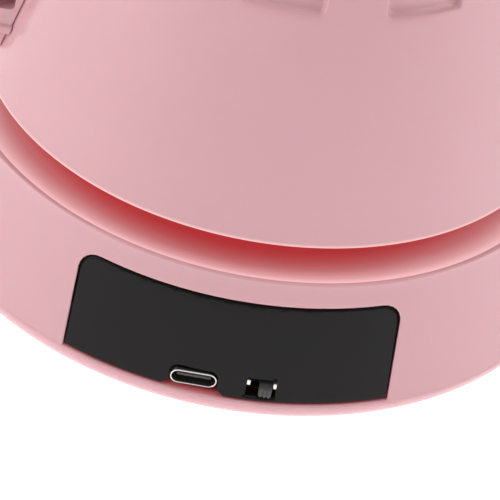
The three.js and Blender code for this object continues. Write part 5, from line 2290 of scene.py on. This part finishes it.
# ---------------------------------------------------------------- lid
@dataclass
class Lid:
    """The domed lid with its hinge arm, the handle and the latch.

    Attributes:
        low: Height of its lower edge.
        high: Height of its top.
        radius: Radius at its lower edge.
        side: Height of its straight side.
        wall: Its thickness.
        arm_half: Half the width of its hinge arm.
        arm_round: Radius of the arm's end.
        fork_gap: Half the room in the handle's fork.
        pin_half: Half the latch pin's length.
        latch_half: Half the latch's width.
        barrel: Radius of the latch's barrel.
        hook_z: Height of the hook.
        hook_play: How much shorter than the CAD hook the hook is.
    """

    low: float = LID_LOW
    high: float = 124.5
    radius: float = 43.0
    side: float = 10.5
    wall: float = 2.4
    arm_half: float = 12.0
    arm_round: float = 5.2
    fork_gap: float = 7.3
    pin_half: float = 12.4
    latch_half: float = 7.0
    barrel: float = 3.2
    hook_z: float = 88.0
    hook_play: float = 0.4

    def side_radius(self, z: float) -> float:
        """Radius of the straight side at a height.

        Args:
            z: The height.

        Returns:
            The radius.
        """
        return self.radius - (z - self.low) * CONE_DROP

    def surface(self, inset: float, steps: int) -> list[Point2]:
        """Its outer surface from the lower edge to the top, or a surface inside it.

        Args:
            inset: How far inside.
            steps: Chords in the dome.

        Returns:
            The points.
        """
        base = self.low + self.side
        radius, height = self.side_radius(base) - inset, self.high - base - inset
        turns = [math.radians(90 * i / steps) for i in range(steps)]
        dome = [(radius * math.cos(t), base + height * math.sin(t)) for t in turns]
        foot = self.radius - inset
        side = [
            (foot + (dome[0][0] - foot) * i / 8, self.low + self.side * i / 8) for i in range(8)
        ]
        return [*side, *dome, (0.0, self.high - inset)]

    def room(self) -> Shape:
        """The room that the lid takes, grown by a gap, for what is fixed to its side.

        Returns:
            The room.
        """
        low, high, top = 91.5, 107.0, 115.0
        line = [(0, low), *((self.side_radius(z) + RUNNING_GAP, z) for z in (low, high)), (0, top)]
        return turned(line, 192)

    def build_shell(self) -> None:
        """Makes the dome and its hinge arm."""
        hinge = joint_at("lid_hinge")
        outer, inner = self.surface(0, 40), self.surface(self.wall, 24)
        outer[0] = (self.radius - 0.35, self.low)
        outer.insert(1, (self.radius - 0.1, self.low + 0.1))
        outer.insert(2, (self.radius - 0.08, self.low + 0.35))
        line = [*reversed(outer), *inner]
        dome = solid_object(turned(line, 240), "dome_of_lid")
        arm = Shape()
        section = Outline(
            (
                (-41.6, self.low, 0.1),
                (-39.4, hinge.z + self.arm_round, 0.1),
                (hinge.x, hinge.z + self.arm_round, 0.01),
                (hinge.x - self.arm_round, hinge.z + self.arm_round, self.arm_round),
                (hinge.x - self.arm_round, hinge.z - self.arm_round, self.arm_round),
                (hinge.x + 2.0, hinge.z - 5.0, 1.5),
                (hinge.x + 3.4, self.low, 0.8),
            ),
            1.6,
            10,
        )
        arm.swept(section, edge_steps(-self.arm_half, self.arm_half, 0.9, 4), along_y, 3.0)
        carved(dome, [arm], "UNION")
        carved(dome, [pin_hole(hinge)])
        fit_piece(weighted(dome), Slot.PINK, Body.LID, "lid_shell")

    def build_handle(self) -> None:
        """Makes the handle and the latch's pin."""
        pivot = joint_at("latch_pivot")
        low, high = box_of("lid_handle")
        root = 30.0
        section = Outline(
            ((root, low.z, 0.2), (high.x, low.z, 2.5), (high.x, high.z, 4.0), (root, high.z, 0.2)),
            2.0,
            8,
        )
        shape = Shape()
        shape.swept(section, edge_steps(low.y, high.y, 1.5, 5), along_y, 3.0)
        grip = solid_object(shape, "grip_of_lid")
        fork_low = (pivot.x - 5, -self.fork_gap, low.z - 5)
        fork = cuboid(fork_low, (high.x + 5, self.fork_gap, high.z + 5), 0.3)
        for tool in (self.room(), fork, pin_hole(pivot)):
            carved(grip, [tool])
        fit_piece(weighted(softened(grip, 0.3, 3, 45)), Slot.PINK, Body.LID, "lid_handle")
        add_cross_pin(pivot, self.pin_half, "rod_of_latch", Body.LID, "latch_pin")

    def build_latch(self) -> None:
        """Makes the latch: barrel, thumb tab, shank and hook."""
        pivot = joint_at("latch_pivot")
        low, _ = box_of("lid_latch")
        hook, tip = self.hook_z, low.x + self.hook_play
        section = Outline(
            (
                (pivot.x + 1.6, hook - 0.9, 0.8),
                (pivot.x + 4.0, hook - 3.0, 0.5),
                (pivot.x + 2.2, hook - 3.8, 0.7),
                (pivot.x - 1.5, hook - 2.8, 1.2),
                (tip, hook - 1.0, 0.3),
                (tip, hook, 0.25),
                (pivot.x - 0.9, hook, 0.3),
                (pivot.x - 0.9, pivot.z - 3.1, 0.8),
                (pivot.x + 1.6, pivot.z - 2.8, 1.5),
            ),
            1.5,
            5,
        )
        shape = Shape()
        half = self.latch_half
        shape.swept(section, edge_steps(-half, half, 0.35, 3), along_y, 2.0)
        clip = solid_object(shape, "clip_of_lid")
        tab = cuboid((pivot.x - 1.2, -half, pivot.z + 1.5), (pivot.x + 1.2, half, pivot.z + 6.2), 0.45)
        carved(clip, [moved(rod(self.barrel, -half, half, 0.35), laid_across(pivot))], "UNION")
        carved(clip, [tab], "UNION")
        carved(clip, [pin_hole(pivot)])
        fit_piece(weighted(softened(clip, 0.2, 2, 45)), Slot.PINK, Body.LATCH, "lid_latch")


# ---------------------------------------------------------------- inner works and studio
def dress_inner_works() -> int:
    """Gives every CAD node that still shows its procedural finish.

    Returns:
        How many nodes were dressed.
    """
    slots = {s["node"]: Slot(s["material_slot"]) for s in frame["record"]["subparts"]}
    count = 0
    for name, node in frame["nodes"].items():
        if node.hide_render:
            continue
        node.data.materials.clear()
        node.data.materials.append(FINISHES[slots[name]].material())
        count += 1
    return count


@dataclass
class Studio:
    """Camera, floor and soft lights.

    Attributes:
        eye: The camera's place in millimetres.
        target: What it looks at, in millimetres.
        roll: Its turn about its own axis in degrees.
        lens: Its focal length in millimetres.
        sensor: Width of its sensor in millimetres.
        floor_color: Colour of the floor.
        floor_light: Light that the floor gives off, which keeps it white next to the object.
        sky_light: Strength of the surroundings.
    """

    eye: Point3 = (-16.55, -421.10, 324.03)
    target: Point3 = (2.937, -0.136, -13.11)
    roll: float = 11.48
    lens: float = 180.0
    sensor: float = 36.0
    floor_color: Color = (0.93, 0.93, 0.93)
    floor_light: float = 0.66
    sky_light: float = 0.31

    def camera(self) -> None:
        """Adds the camera."""
        forward = (Vector(self.target) - Vector(self.eye)).normalized()
        right = forward.cross(Vector((0, 0, 1))).normalized()
        up = right.cross(forward)
        turn = math.radians(self.roll)
        across = right * math.cos(turn) + up * math.sin(turn)
        upward = up * math.cos(turn) - right * math.sin(turn)
        basis = Matrix((across, upward, -forward)).transposed().to_4x4()
        data = bpy.data.cameras.new("view")
        data.sensor_width = self.sensor
        data.lens = self.lens
        data.clip_start = 0.01
        data.clip_end = 50.0
        camera = bpy.data.objects.new("view", data)
        camera.matrix_world = Matrix.Translation(Vector(self.eye) * MM) @ basis
        bpy.context.scene.collection.objects.link(camera)
        bpy.context.scene.camera = camera

    def softbox(self, name: str, place: Point3, size: Point2, power: float) -> None:
        """Adds a soft light that points at the object.

        Args:
            name: Its name.
            place: Its place in metres.
            size: Its width and height in metres.
            power: Its power in watts.
        """
        data = bpy.data.lights.new(name, "AREA")
        data.shape = "RECTANGLE"
        data.size, data.size_y = size
        data.energy = power
        light = bpy.data.objects.new(name, data)
        light.location = place
        aim = Vector((0, 0, 0.05)) - Vector(place)
        light.rotation_mode = "QUATERNION"
        light.rotation_quaternion = aim.to_track_quat("-Z", "Y")
        bpy.context.scene.collection.objects.link(light)

    def floor(self) -> None:
        """Adds the plain floor."""
        shape = Shape()
        ring = [(6000.0 * c, 0.0) for c in (0.0, 0.02, 0.05, 0.1, 0.3, 1.0)]
        Skin(shape, ring, 64, False).close()
        ground = solid_object(shape, "floor")
        made = bpy.data.materials.new("floor_white")
        made.use_nodes = True
        shader = next(n for n in made.node_tree.nodes if n.type == "BSDF_PRINCIPLED")
        shader.inputs["Base Color"].default_value = (*self.floor_color, 1.0)
        shader.inputs["Roughness"].default_value = 0.7
        shader.inputs["Emission Color"].default_value = (1.0, 1.0, 1.0, 1.0)
        shader.inputs["Emission Strength"].default_value = self.floor_light
        ground.data.materials.append(made)

    def build(self) -> None:
        """Makes camera, floor, lights and surroundings."""
        self.camera()
        self.floor()
        self.softbox("left_box", (-0.95, -0.3, 0.6), (0.8, 1.1), 5.2)
        self.softbox("right_box", (1.0, -0.1, 0.6), (0.7, 1.1), 3.9)
        self.softbox("top_box", (0.05, 0.2, 1.2), (1.0, 0.8), 3.5)
        world = bpy.data.worlds.new("surroundings")
        world.use_nodes = True
        background = next(n for n in world.node_tree.nodes if n.type == "BACKGROUND")
        background.inputs["Color"].default_value = (1.0, 1.0, 1.0, 1.0)
        background.inputs["Strength"].default_value = self.sky_light
        bpy.context.scene.world = world
        view = bpy.context.scene.view_settings
        view.view_transform = "Standard"
        view.look = "None"
        view.exposure = 0.0


def main() -> None:
    """Builds the studio, then the donut maker from its foot to its lid."""
    logging.basicConfig(level=logging.INFO, format="%(message)s")
    Studio().build()
    BaseShell().build()
    LOG.info("base shell done")
    ControlPanel().build()
    ChargingSocket().build()
    PowerSwitch().build()
    LOG.info("front done")
    Underside().build()
    LOG.info("underside done")
    body = UpperShell()
    body.build()
    LOG.info("body done")
    RearSpine().build(body.room())
    LOG.info("spine done")
    Mould("lower_mould", PARTING, -1, Body.BASE).build()
    Mould("upper_mould", LID_LOW, 1, Body.LID).build()
    LOG.info("moulds done")
    lid = Lid()
    lid.build_shell()
    lid.build_handle()
    lid.build_latch()
    LOG.info("lid done")
    LOG.info("%d inner pieces dressed", dress_inner_works())


if __name__ == "__main__":
    main()
